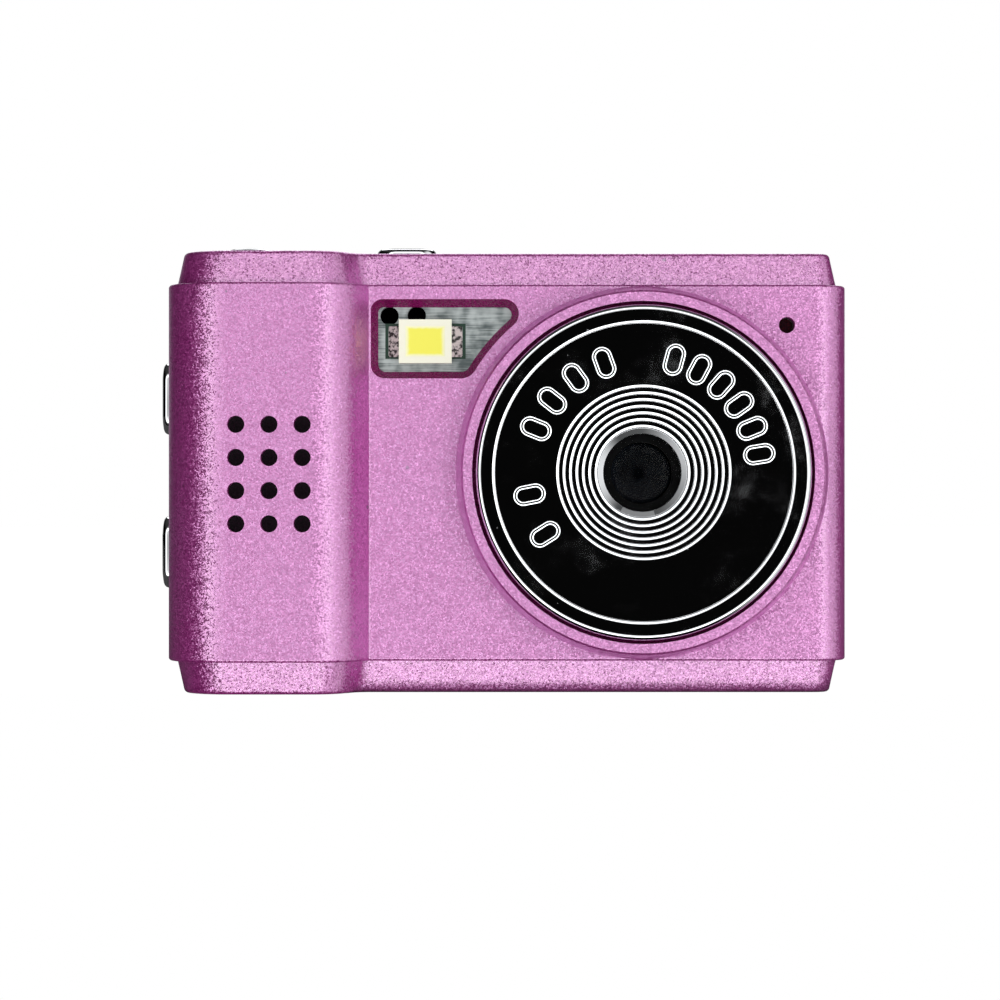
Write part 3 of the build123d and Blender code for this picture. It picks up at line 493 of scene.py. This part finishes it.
@dataclass(frozen=True)
class FlakePaint(Coating):
    """Metallic paint: deep pigment under tinted reflecting flakes and a patchy clear coat."""
    pigment: Colour
    flake: Colour
    flake_size: float = 0.075
    tilt: float = 0.45
    tones: tuple[float, float] = (0.28, 0.72)
    share_high: float = 0.08
    depth: tuple[float, float] = (0.62, 1.3)
    rough: float = 0.29
    rough_worn: float = 0.38
    flake_index: float = 4.3
    flake_tint: Colour = (1.0, 0.60, 1.0)
    coat_high: float = 1.0
    coat_rough: float = 0.27
    coat_index: float = 2.2
    cloud_size: float = 7.0
    cloud_share: float = 0.06
    speck_size: float = 1.1
    speck_from: float = 0.9
    speck_tone: float = 0.12

    def dress(self, tree: Tree, shader: Node, place: Socket) -> None:
        """Adds this finish's nodes and values to its shader."""
        flakes = tree.settle(tree.group(flake_group(), place, self.flake_size), Tilt=self.tilt)
        tone = flakes.outputs["Tone"]
        clouds = noise(tree, place, 1.0 / (self.cloud_size * MM), 2.0)
        share = tree.math("ADD", tree.remap(tone, *self.tones, 0.0, self.share_high),
                          tree.remap(clouds, 0.3, 0.7, 0.0, self.cloud_share))
        depth = tree.remap(tone, *self.tones, *self.depth)
        paint = tree.scale(tree.mix(share, self.pigment, self.flake), depth)
        dust = tree.group(texture_group(Texture.SMUDGED), place, self.speck_size).outputs["Mask"]
        speck = tree.math("GREATER_THAN", dust, self.speck_from)
        speck_colour = tuple(channel * self.speck_tone for channel in self.pigment)
        tree.settle(shader, Base_Color=tree.mix(speck, paint, speck_colour), Metallic=share,
                    Normal=flakes.outputs["Normal"],
                    Roughness=tree.remap(dust, 0.0, 1.0, self.rough, self.rough_worn),
                    Coat_Weight=tree.remap(tone, *self.tones, 0.0, self.coat_high),
                    Coat_Roughness=self.coat_rough, Coat_IOR=self.coat_index, IOR=self.flake_index,
                    Specular_Tint=(*self.flake_tint, 1.0))


@dataclass(frozen=True)
class FadedFinish(Coating):
    """Opaque patch whose colour fades to another towards the edges of its box in x and z."""
    colour: Colour
    edge: Colour
    fade: float = 0.20
    fade_end: float = 0.52
    grain: float = 0.05
    grain_size: float = 0.25
    rough: float = 0.35

    def dress(self, tree: Tree, shader: Node, place: Socket) -> None:
        """Adds this finish's nodes and values to its shader."""
        box = tree.add("ShaderNodeTexCoord").outputs["Generated"]
        away = tree.vector("ABSOLUTE", tree.vector("SUBTRACT", box, (0.5, 0.5, 0.5)))
        axes = tree.parts("XYZ", away)
        far = tree.math("MAXIMUM", axes[0], axes[2])
        grain = tree.math("MULTIPLY", noise(tree, place, 1.0 / (self.grain_size * MM)), self.grain)
        mask = tree.remap(tree.math("ADD", far, grain), 0.5 - self.fade * 0.5, self.fade_end, 0.0, 1.0)
        tree.settle(shader, Base_Color=tree.mix(mask, self.colour, self.edge), Roughness=self.rough)


# A Finish gives, after its two colours, size, relief, rough, rough_marked, metallic, coat, coat_rough.
COATS = {coat.name: coat for coat in (
    FlakePaint("violet_flake_paint", "painted_shell", (0.42, 0.014, 0.25), (0.88, 0.55, 0.95)),
    # Painted shade: a darker, less shiny copy of the paint for the bezel's seat and the lamp window's wall,
    # where shade falls.
    FlakePaint("recess_painted_shade", "painted_shell", (0.24, 0.008, 0.11), (0.50, 0.10, 0.35),
               share_high=0.02, coat_high=0.02, flake_index=1.15),
    Finish("bright_chrome", "chrome_trim", Texture.SMUDGED, (0.86, 0.88, 0.90),
           (0.78, 0.80, 0.83), 0.55, 0.0006, 0.025, 0.2, 1.0),
    ClearFinish("clear_plastic", "clear_cover", (0.97, 0.98, 0.98)),
    ClearFinish("coated_glass", "lens_glass", (0.30, 0.34, 0.40), index=1.2),
    ClearFinish("filter_glass", "filter_glass", (0.55, 0.85, 0.92), index=1.52),
    Finish("black_moulding", "black_plastic", Texture.MOULDED, (0.006, 0.006, 0.007),
           (0.012, 0.012, 0.013), 0.06, 0.006, 0.42, 0.6, sheen=0.06),
    Finish("cream_moulding", "plunger_plastic", Texture.MOULDED, (0.72, 0.68, 0.58),
           (0.62, 0.58, 0.48), 0.08, 0.004, 0.35, 0.5),
    Finish("rolled_steel", "bare_steel", Texture.BRUSHED, (0.52, 0.52, 0.53),
           (0.40, 0.40, 0.41), 0.03, 0.002, 0.16, 0.32, 1.0),
    Finish("green_board", "circuit_board", Texture.MOULDED, (0.006, 0.085, 0.035),
           (0.010, 0.12, 0.05), 0.35, 0.003, 0.28, 0.42, 0.0, 0.3),
    Finish("brushed_lamp_board", "metal_board", Texture.STREAKED, (0.13, 0.16, 0.16),
           (0.50, 0.55, 0.54), 0.10, 0.002, 0.32, 0.5, 0.75),
    Finish("chip_resin", "chip_resin", Texture.MOULDED, (0.012, 0.012, 0.013),
           (0.022, 0.022, 0.023), 0.05, 0.004, 0.5, 0.65),
    Finish("capacitor_ceramic", "capacitor_ceramic", Texture.MOULDED, (0.30, 0.18, 0.10),
           (0.38, 0.25, 0.15), 0.05, 0.002, 0.4, 0.55),
    Finish("lamp_white", "led_white", Texture.MOULDED, (1.0, 1.0, 0.86),
           (0.96, 0.96, 0.76), 0.22, 0.003, 0.35, 0.5),
    Finish("dull_solder", "solder", Texture.CRUMPLED, (0.03, 0.028, 0.026),
           (0.62, 0.56, 0.54), 0.16, 0.01, 0.3, 0.5, 0.6),
    Finish("speaker_case", "speaker_case", Texture.MOULDED, (0.010, 0.010, 0.010),
           (0.02, 0.02, 0.02), 0.08, 0.004, 0.5, 0.65),
    Finish("speaker_weave", "speaker_fabric", Texture.WOVEN, (0.002, 0.001, 0.002),
           (0.010, 0.007, 0.009), 0.09, 0.01, 0.8, 0.95),
    Finish("microphone_felt", "speaker_fabric", Texture.OPEN_CELL, (0.030, 0.004, 0.006),
           (0.11, 0.012, 0.016), 0.12, 0.02, 0.85, 0.95),
    Finish("grey_foam", "foam", Texture.OPEN_CELL, (0.015, 0.015, 0.016),
           (0.035, 0.035, 0.036), 0.15, 0.03, 0.85, 0.95),
    Finish("mic_rubber", "mic_rubber", Texture.MOULDED, (0.010, 0.002, 0.003),
           (0.022, 0.004, 0.006), 0.1, 0.004, 0.55, 0.7),
    Finish("drawn_can", "mic_case", Texture.BRUSHED, (0.60, 0.60, 0.61),
           (0.48, 0.48, 0.49), 0.04, 0.002, 0.2, 0.35, 1.0),
    Finish("battery_foil", "battery_foil", Texture.CRUMPLED, (0.55, 0.56, 0.58),
           (0.42, 0.43, 0.45), 2.2, 0.06, 0.25, 0.4, 0.9),
    Finish("tray_moulding", "tray_plastic", Texture.MOULDED, (0.035, 0.035, 0.04),
           (0.05, 0.05, 0.056), 0.08, 0.005, 0.45, 0.6),
    Finish("red_insulation", "red_insulation", Texture.MOULDED, (0.42, 0.010, 0.008),
           (0.32, 0.006, 0.005), 0.1, 0.002, 0.35, 0.5),
    Finish("black_insulation", "black_insulation", Texture.MOULDED, (0.008, 0.008, 0.008),
           (0.016, 0.016, 0.016), 0.1, 0.002, 0.35, 0.5),
    Finish("amber_film", "flat_cable", Texture.STREAKED, (0.26, 0.09, 0.012),
           (0.42, 0.17, 0.03), 0.4, 0.002, 0.25, 0.4, 0.0, 0.5),
    Finish("green_mask", "metal_board", Texture.MOULDED, (0.003, 0.020, 0.010),
           (0.004, 0.045, 0.022), 0.25, 0.003, 0.3, 0.45),
    FadedFinish("lamp_phosphor", "led_phosphor", (1.0, 0.96, 0.12), (1.0, 1.0, 0.70)),
    Finish("display_glass", "display_glass", Texture.STREAKED, (0.010, 0.012, 0.016),
           (0.014, 0.016, 0.022), 1.0, 0.0004, 0.12, 0.2, 0.0, 1.0, 0.04),
)}


def dress_nodes() -> None:
    """Gives every model node the first coat that names its record slot."""
    finishes: dict[str, bpy.types.Material] = {}
    for coat in COATS.values():
        if coat.slot not in finishes:
            finishes[coat.slot] = coat.material()
    slots = {part["node"]: part["material_slot"] for part in frame["record"]["subparts"]}
    for name, node in frame["nodes"].items():
        material = finishes[slots[name]]
        for place in node.material_slots:
            place.material = material
        log.info("node %s: %s", name, material.name)


# ------------------------------------------------------------------ fine pieces
def add_piece(piece: bpy.types.Object, body: str, coat_name: str, replaced: Sequence[str] = ()) -> None:
    """Gives a new piece its coat and body, hides the nodes it replaces, and reports it."""
    coat = COATS[coat_name]
    piece.data.materials.append(coat.material())
    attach(piece, body)
    if replaced:
        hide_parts(*replaced)
    log.info("piece %s: %d faces on %s", piece.name, len(piece.data.polygons), body)


def joined_grids(name: str, grids: Sequence[np.ndarray]) -> bpy.types.Object:
    """Makes one piece of several grids of one shape, each wrapped both ways."""
    stack = np.stack(grids)
    count, rows, columns = stack.shape[:3]
    quads = grid_quads(rows, columns).reshape(-1, 4)
    shifts = (np.arange(count) * rows * columns)[:, None, None]
    return quads_piece(name, stack.reshape(-1, 3), (quads[None] + shifts).reshape(-1, 4))


@dataclass
class SmoothSkin:
    """Shell parts of the case, shaded smooth across their rounded faces.

    The skin is the model node's own surface with its triangles merged; edges sharper than the crease
    stay sharp. Faces of the bezel's seat and of the lamp window's wall take a second, darker paint that
    is painted shade.
    """
    nodes: tuple[str, ...] = ("front_cover", "rear_cover")
    crease: float = 24.0
    recess_depth: float = 1.08
    recess_tilt: float = 0.9
    seat_gap: float = 0.4
    seat_drop: float = 0.7

    def __post_init__(self) -> None:
        """Finds the lamp window's room, as deep as the wall before the board, and the bezel's seat: the
        places given painted shade.
        """
        low, high = box_mm("led_board")
        self.recess = (low - (0.0, self.recess_depth, 0.0), np.array((high[0], low[1], high[2])))
        low, high = box_mm("lens_bezel")
        self.seat_centre = (low + high) / 2.0
        self.seat_r = (high[0] - low[0]) / 2.0 + self.seat_gap
        self.seat_front = low[1] + self.seat_drop

    def build(self) -> None:
        """Builds and dresses one skin for each node."""
        for node in self.nodes:
            mesh = frame["nodes"][node].data.copy()
            mesh.materials.clear()
            work = bmesh.new()
            work.from_mesh(mesh)
            bmesh.ops.remove_doubles(work, verts=work.verts, dist=WELD)
            limit = float(np.radians(self.crease))
            for edge in work.edges:
                edge.smooth = len(edge.link_faces) == 2 and edge.calc_face_angle(0.0) < limit
            for face in work.faces:
                face.smooth = True
                # Faces of the bezel's seat and the lamp window's wall take the second material, the painted
                # shade.
                face.material_index = int(self.takes_painted_shade(face))
            work.to_mesh(mesh)
            work.free()
            skin = bpy.data.objects.new(node + "_skin", mesh)
            bpy.context.scene.collection.objects.link(skin)
            weighted = skin.modifiers.new("weighted_normals", "WEIGHTED_NORMAL")
            weighted.keep_sharp = True
            add_piece(skin, "camera", "violet_flake_paint", (node,))
            # The second material is the darker paint that stands in for shade in those hollows.
            skin.data.materials.append(COATS["recess_painted_shade"].material())

    def takes_painted_shade(self, face: bmesh.types.BMFace) -> bool:
        """Whether a face gets the painted shade: it lies in the bezel's seat, or on the wall of the window
        over the lamp.
        """
        at = np.array(face.calc_center_median()) / MM
        away = at - self.seat_centre
        if np.hypot(away[0], away[2]) < self.seat_r:
            return bool(at[1] > self.seat_front)
        low, high = self.recess
        return bool(abs(face.normal.y) < self.recess_tilt and np.all(at > low) and np.all(at < high))


@dataclass
class LensBezel:
    """Chrome bezel round the lens: rim, black-looking mirror ring, raised marks and stepped funnel."""
    segments: int = 256
    arc_steps: int = 5
    lip_inner_r: float = 9.11
    lip_rise: float = 0.25
    lip_bevel: float = 0.13
    lip_drop: float = 0.038
    rim_round: float = 0.30
    funnel_r: float = 5.2
    throat_r: float = 2.4
    steps: int = 7
    step_depth: float = 0.3
    flat_share: float = 0.5
    bead_share: float = 0.66
    bead_drop: float = 0.04
    bead_round: float = 0.03
    throat_share: float = 0.85
    throat_drop: float = 0.16
    edge_round: float = 0.03
    back_round: float = 0.02
    seat_round: float = 0.05
    seat_r: float = 3.32
    hub_r: float = 5.5
    window_t: float = 0.6
    hub_len: float = 1.4
    mark_r: float = 7.1
    mark_long: float = 2.0
    mark_wide: float = 1.25
    mark_line: float = 0.26
    mark_rise: float = 0.15
    mark_root: float = 0.04
    mark_side: float = 0.01
    mark_edge: float = 0.08
    mark_facet: float = 0.022
    mark_points: int = 64
    mark_steps: int = 4
    mark_hold: float = 0.004
    mark_groups: tuple[tuple[float, float, int], ...] = ((191.0, 212.0, 2), (110.0, 158.0, 4),
                                                         (9.0, 75.0, 6))

    def __post_init__(self) -> None:
        """Reads the bezel's place from the model."""
        low, high = box_mm("lens_bezel")
        middle = (low + high) / 2.0
        self.centre = (middle[0], middle[2])
        self.outer_r = (high[0] - low[0]) / 2.0
        self.front = low[1]
        self.back = high[1]

    def profile(self) -> np.ndarray:
        """Closed section of the bezel, as radius and y.

        Each step of the funnel is a flat tread, a shallow cone that drops by bead_drop, and a riser
        down to the next tread.
        """
        face = self.front + self.lip_rise
        seat = self.back - self.hub_len
        tread = (self.funnel_r - self.throat_r) / self.steps
        corners = [(self.outer_r, seat), (self.outer_r, self.front),
                   (self.lip_inner_r + self.lip_bevel, self.front),
                   (self.lip_inner_r, self.front + self.lip_drop), (self.lip_inner_r, face)]
        radii = [self.seat_round, self.rim_round, self.back_round, self.edge_round, self.edge_round]
        for index in range(self.steps):
            radius = self.funnel_r - index * tread
            depth = face + index * self.step_depth
            corners.append((radius + tread * (1.0 - self.flat_share) * self.bead_share, depth))
            corners.append((radius, depth + self.bead_drop))
            corners.append((radius, depth + self.step_depth))
            radii += [self.bead_round, self.bead_round, self.back_round]
        throat = face + self.steps * self.step_depth
        corners += [(self.throat_r + tread * self.throat_share, throat),
                    (self.throat_r, throat + self.throat_drop),
                    (self.throat_r, self.back - self.window_t), (self.seat_r, self.back - self.window_t),
                    (self.seat_r, self.back), (self.hub_r, self.back), (self.hub_r, seat)]
        radii += [self.edge_round] * 2 + [self.back_round] * 5
        return rounded_path(corners, radii, self.arc_steps)

    def marks(self) -> list[np.ndarray]:
        """Raised outlines: a low bead with a sloping facet on each side, carried round a stadium.

        At distance d from the stadium's middle segment the point is segment point + d * direction;
        the bead's section gives d and the height above the ring.
        """
        outer = self.mark_wide / 2.0
        inner = outer - self.mark_line
        side, edge, rise = self.mark_side, self.mark_edge, self.mark_rise
        low = rise - self.mark_facet
        section = rounded_path(((outer, -self.mark_root), (outer - side, low), (outer - edge, rise),
                                (inner + edge, rise), (inner + side, low), (inner, -self.mark_root)),
                               (0.0, *[self.back_round] * 4, 0.0), self.mark_steps, hold=self.mark_hold)
        middle, direction = stadium(self.mark_long, self.mark_wide, self.mark_points)
        u = self.mark_r + middle[None, :, 0] + section[:, :1] * direction[None, :, 0]
        v = section[:, :1] * direction[None, :, 1]
        height = np.broadcast_to(section[:, 1:], u.shape)
        y = self.front + self.lip_rise - height
        grids = []
        for start, stop, count in self.mark_groups:
            for angle in np.radians(span(start, stop, count)):
                x = self.centre[0] + u * np.cos(angle) - v * np.sin(angle)
                z = self.centre[1] + u * np.sin(angle) + v * np.cos(angle)
                grids.append(np.stack((x, y, z), axis=-1))
        return grids

    def build(self) -> None:
        """Builds the bezel and its marks in chrome."""
        ring = revolve("chrome_bezel_ring", self.profile(), self.centre, self.segments)
        add_piece(ring, "camera", "bright_chrome", ("lens_bezel",))
        marks = joined_grids("bezel_raised_marks", self.marks())
        add_piece(marks, "camera", "bright_chrome")


@dataclass
class PressButton:
    """Chrome button with a domed pill head, a neck through the wall and a flange inside it."""
    name: str
    top: bool
    flange_out: float = 0.3
    flange_t: float = 0.6
    dome: float = 0.10
    edge_round: float = 0.32
    flange_round: float = 0.05
    arc_steps: int = 7
    dome_steps: int = 8
    outline_points: int = 96

    def section(self, half: float, reach: float) -> np.ndarray:
        """Open section from the back's middle to the head's middle, as distance out and height.

        Heights run from the flange's back at 0 to the head at reach. The head rises by dome from
        its edge to its middle along a parabola.
        """
        neck = self.flange_t
        run = rounded_path(((0.0, 0.0), (half + self.flange_out, 0.0), (half + self.flange_out, neck),
                            (half, neck), (half, reach - self.dome), (0.0, reach - self.dome)),
                           (0.0, self.flange_round, self.flange_round, 0.0, self.edge_round, 0.0),
                           self.arc_steps, closed=False)
        inner = span(half - self.edge_round, 0.0, self.dome_steps)[1:]
        dome = reach - self.dome * (inner / (half - self.edge_round)) ** 2
        return np.concatenate((run[:-1], np.stack((inner, dome), axis=-1)))

    def build(self) -> None:
        """Builds the button in place of its model node."""
        low, high = box_mm(self.name + "_button")
        middle = (low + high) / 2.0
        flange = 2.0 * self.flange_out
        wide = high[1] - low[1] - flange
        if self.top:
            long = high[0] - low[0] - flange
            reach = high[2] - low[2]
            place = Place((middle[0], middle[1], low[2]), (1, 0, 0), (0, 1, 0), (0, 0, 1))
        else:
            long = high[2] - low[2] - flange
            reach = high[0] - low[0]
            place = Place((high[0], middle[1], middle[2]), (0, 0, 1), (0, 1, 0), (-1, 0, 0))
        segment, direction = stadium(long, wide, self.outline_points)
        section = self.section(wide / 2.0, reach)
        u = segment[None, :, 0] + section[:, :1] * direction[None, :, 0]
        v = section[:, :1] * direction[None, :, 1]
        w = np.broadcast_to(section[:, 1:], u.shape)
        piece = grid_piece(self.name + "_chrome_button", place.carry(u, v, w), False, True)
        add_piece(piece, self.name, "bright_chrome", (self.name + "_button",))


@dataclass
class LampOutlines:
    """Green mask outlines beside the lamp's solder pads, printed on its board."""
    bar: float = 0.19
    thick: float = 0.02
    reach: float = 0.86
    half_height: float = 1.09
    shift: float = -0.03

    def build(self) -> None:
        """Builds a bracket on each side of the lamp: a flat closed run round three sides of a pad."""
        low, high = box_mm("flash_led")
        front = box_mm("led_board")[0][1]
        middle_z = (low[2] + high[2]) / 2.0 - self.shift
        for side, edge in ((-1.0, low[0]), (1.0, high[0])):
            far = self.reach
            near = far - self.bar
            outer, inner = self.half_height, self.half_height - self.bar
            path = np.array(((0.0, outer), (far, outer), (far, -outer), (0.0, -outer),
                             (0.0, -inner), (near, -inner), (near, inner), (0.0, inner)))
            x = np.broadcast_to(edge + side * path[:, 0], (2, len(path)))
            z = np.broadcast_to(middle_z + path[:, 1], (2, len(path)))
            y = np.array(((front - self.thick,), (front,))) + np.zeros(len(path))
            points = np.stack((x, y, z), axis=-1)
            walls = np.arange(len(path))
            after = np.roll(walls, -1)
            sides = np.stack((walls, after, after + len(path), walls + len(path)), axis=-1)
            caps = np.array(((0, 1, 6, 7), (1, 2, 5, 6), (2, 3, 4, 5)))
            quads = np.concatenate((sides, caps, caps + len(path)))
            name = "lamp_outline_left" if side < 0 else "lamp_outline_right"
            piece = quads_piece(name, points.reshape(-1, 3), quads)
            piece.data.polygons.foreach_set("use_smooth", np.zeros(len(piece.data.polygons), dtype=bool))
            add_piece(piece, "camera", "green_mask")


@dataclass
class MicFelt:
    """Round dark felt on the microphone, seen through the hole of its boot."""
    thick: float = 0.06
    gap: float = 0.02
    crown: float = 0.05
    rings: int = 9
    segments: int = 64

    def build(self) -> None:
        """Builds the felt: a disc whose front rises by crown to its middle along a parabola."""
        low, high = box_mm("microphone")
        middle = (low + high) / 2.0
        radius = self.hole_radius()
        ring = span(1.0, 0.0, self.rings)
        front = low[1] - self.thick - self.crown * (1.0 - ring ** 2)
        back = np.array((low[1], low[1]))
        r = np.concatenate((np.array((0.0, 1.0)), ring)) * radius
        y = np.concatenate((back, front))
        angle = turn(self.segments)[None, :]
        x = middle[0] + r[:, None] * np.cos(angle)
        z = middle[2] + r[:, None] * np.sin(angle)
        points = np.stack((x, np.broadcast_to(y[:, None], x.shape), z), axis=-1)
        felt = grid_piece("microphone_felt", points, False, True)
        add_piece(felt, "camera", "microphone_felt")

    def hole_radius(self) -> float:
        """Radius of the boot's hole less the gap: the nearest boot point to the microphone's axis."""
        low, high = box_mm("microphone")
        middle = (low + high) / 2.0
        mesh = frame["nodes"]["mic_boot"].data
        flat = np.empty(len(mesh.vertices) * 3, dtype=np.float32)
        mesh.vertices.foreach_get("co", flat)
        away = flat.reshape(-1, 3)[:, (0, 2)] / MM - middle[[0, 2]]
        return float(np.hypot(away[:, 0], away[:, 1]).min()) - self.gap


@dataclass
class ScreenBorder:
    """Black border printed on the back of the screen window."""
    inset: float = 0.15
    margin_side: float = 3.2
    margin_top: float = 1.6
    corner: float = 0.8
    corner_steps: int = 8
    depth: float = 0.03
    gap: float = 0.005

    def build(self) -> None:
        """Builds the border: a rounded rectangle outline joined to a smaller one, front and back."""
        low, high = box_mm("screen_window")
        outer = self.outline(low, high, self.inset, self.inset)
        inner = self.outline(low, high, self.margin_side, self.margin_top)
        near, far = low[1] + self.gap, low[1] + self.gap + self.depth
        loops = [np.stack((ring[:, 0], np.full(len(ring), y), ring[:, 1]), axis=-1)
                 for ring, y in ((outer, near), (outer, far), (inner, far), (inner, near))]
        piece = grid_piece("screen_printed_border", np.stack(loops), True, True)
        piece.data.polygons.foreach_set("use_smooth", np.zeros(len(piece.data.polygons), dtype=bool))
        add_piece(piece, "camera", "black_moulding")

    def outline(self, low: np.ndarray, high: np.ndarray, side: float, top: float) -> np.ndarray:
        """Rounded rectangle inside a box in x and z, inset by side and top."""
        x0, x1 = low[0] + side, high[0] - side
        z0, z1 = low[2] + top, high[2] - top
        return rounded_path(((x0, z0), (x1, z0), (x1, z1), (x0, z1)), (self.corner,) * 4, self.corner_steps)


# ------------------------------------------------------------------ studio
@dataclass(frozen=True)
class SoftLight:
    """Round soft light aimed at the object. Lengths are millimetres, the power is in watts."""
    name: str
    at: tuple[float, float, float]
    size: float
    power: float


@dataclass
class Studio:
    """Camera, pale floor and soft light. Lengths are millimetres; angles are degrees off the view axis."""
    camera_at: tuple[float, float, float] = (-0.46, -207.5, 11.92)
    focal: float = 116.74
    floor_size: float = 1200.0
    floor_front: float = -7.6
    floor_level: float = -0.02
    floor_glow: float = 1.12
    floor_clear: float = 0.9
    floor_tones: tuple[float, float] = (0.16, 0.18)
    ring_stops: tuple[tuple[float, float], ...] = ((0.0, 0.0007), (6.4, 0.0007), (8.2, 0.25), (24.0, 0.31),
                                                   (31.0, 0.72), (38.0, 1.0), (43.0, 0.5), (49.0, 0.03),
                                                   (60.0, 0.0), (138.0, 0.0), (156.0, 0.14), (180.0, 0.22))
    ring_gain: float = 3.5
    from_below: float = 1.22
    from_above: float = 0.8
    tilt_span: float = 0.45
    overhead: float = 0.05
    overhead_from: float = 0.35
    right_glow: float = 1.1
    right_span: tuple[float, float] = (0.45, 0.85)
    right_edge: tuple[float, float] = (0.48, 0.58)
    soft_lights: tuple[SoftLight, ...] = (SoftLight("overhead_soft", (60.0, -260.0, 330.0), 260.0, 0.03),
                                          SoftLight("front_fill", (-170.0, -330.0, 120.0), 200.0, 0.006),
                                          SoftLight("rear_soft", (0.0, 330.0, 300.0), 300.0, 0.5))
    light_aim: tuple[float, float, float] = (0.0, 0.0, 13.0)

    def build(self) -> None:
        """Builds the world, the floor, the lights and the camera."""
        self.world()
        self.floor()
        self.lights()
        self.camera()
        bpy.context.scene.view_settings.view_transform = "Standard"
        log.info("studio ready")

    def world(self) -> None:
        """White to the camera; to the object, a soft ring round a dark patch, a sky and a right side."""
        world = bpy.data.worlds.new("studio")
        bpy.context.scene.world = world
        world.use_nodes = True
        world.node_tree.nodes.clear()
        tree = Tree(world.node_tree)
        ray = tree.add("ShaderNodeTexCoord").outputs["Generated"]
        ahead = tree.add("ShaderNodeVectorMath", operation="DOT_PRODUCT")
        tree.pair(ahead, ray, (0.0, -1.0, 0.0))
        angle = tree.math("DIVIDE", tree.math("ARCCOSINE", ahead.outputs["Value"]), float(np.pi))
        ramp = tree.add("ShaderNodeValToRGB")
        tree.link(angle, ramp.inputs["Fac"])
        stops = ramp.color_ramp.elements
        for index, (at, level) in enumerate(self.ring_stops):
            stop = stops[index] if index < 2 else stops.new(at / 180.0)
            stop.position = at / 180.0
            stop.color = (level, level, level, 1.0)
        axes = tree.parts("XYZ", ray)
        sky = tree.remap(axes[2], self.overhead_from, 1.0, 0.0, self.overhead)
        lean = tree.remap(axes[2], -self.tilt_span, self.tilt_span,
                          self.from_below * self.ring_gain, self.from_above * self.ring_gain)
        side = tree.remap(axes[0], *self.right_span, 0.0, self.right_glow)
        right = tree.math("MULTIPLY", side, tree.remap(angle, *self.right_edge, 1.0, 0.0))
        level = tree.math("ADD", tree.math("MULTIPLY", ramp.outputs["Color"], lean),
                          tree.math("ADD", sky, right))
        around = tree.settle(tree.add("ShaderNodeBackground"), Strength=level)
        white = tree.settle(tree.add("ShaderNodeBackground"), Color=(1.0, 1.0, 1.0, 1.0), Strength=1.0)
        out = tree.add("ShaderNodeOutputWorld")
        tree.settle(out, Surface=tree.by_ray(around.outputs[0], white.outputs[0]))

    def floor(self) -> None:
        """Plain floor, grey to the object and almost white to the camera."""
        half = self.floor_size
        x, y = np.meshgrid(span(-half, half, 3), span(self.floor_front, half, 3), indexing="ij")
        points = np.stack((x, y, np.full_like(x, self.floor_level)), axis=-1)
        floor = grid_piece("studio_floor", points, False, False)
        material, tree, shader, place = new_material("pale_floor")
        cloud = noise(tree, place, 6.0, 2.0)
        tones = ((tone, tone, tone) for tone in self.floor_tones)
        tree.settle(shader, Base_Color=tree.mix(cloud, *tones), Roughness=0.9, Specular_IOR_Level=0.0)
        white = tree.settle(tree.add("ShaderNodeEmission"), Strength=self.floor_glow)
        tree.settle(material.node_tree.nodes["Material Output"],
                    Surface=tree.by_ray(shader.outputs[0], white.outputs[0], self.floor_clear))
        floor.data.materials.append(material)

    def lights(self) -> None:
        """Large soft lights overhead, in front and behind."""
        for soft in self.soft_lights:
            data = bpy.data.lights.new(soft.name, "AREA")
            data.shape = "DISK"
            data.size = soft.size * MM
            data.energy = soft.power
            light = bpy.data.objects.new(soft.name, data)
            light.location = Vector(soft.at) * MM
            aim = Vector(self.light_aim) * MM - light.location
            light.rotation_euler = aim.to_track_quat("-Z", "Y").to_euler()
            bpy.context.scene.collection.objects.link(light)

    def camera(self) -> None:
        """Long lens square to the front."""
        data = bpy.data.cameras.new("studio_camera")
        data.lens = self.focal
        data.sensor_width = 36.0
        data.clip_start = 0.01
        data.dof.use_dof = False
        camera = bpy.data.objects.new("studio_camera", data)
        camera.location = Vector(self.camera_at) * MM
        camera.rotation_euler = (np.pi / 2.0, 0.0, 0.0)
        bpy.context.scene.collection.objects.link(camera)
        bpy.context.scene.camera = camera


# ------------------------------------------------------------------ whole camera
def build_camera() -> None:
    """Dresses every model node and builds the fine pieces in order."""
    dress_nodes()
    SmoothSkin().build()
    LensBezel().build()
    for name, top in (("shutter", True), ("mode", True), ("power", False), ("menu", False)):
        PressButton(name, top).build()
    LampOutlines().build()
    MicFelt().build()
    ScreenBorder().build()


def main() -> None:
    """Builds the camera and the studio."""
    logging.basicConfig(level=logging.INFO, format="%(name)s: %(message)s")
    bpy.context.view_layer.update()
    build_camera()
    Studio().build()


if __name__ == "__main__":
    main()
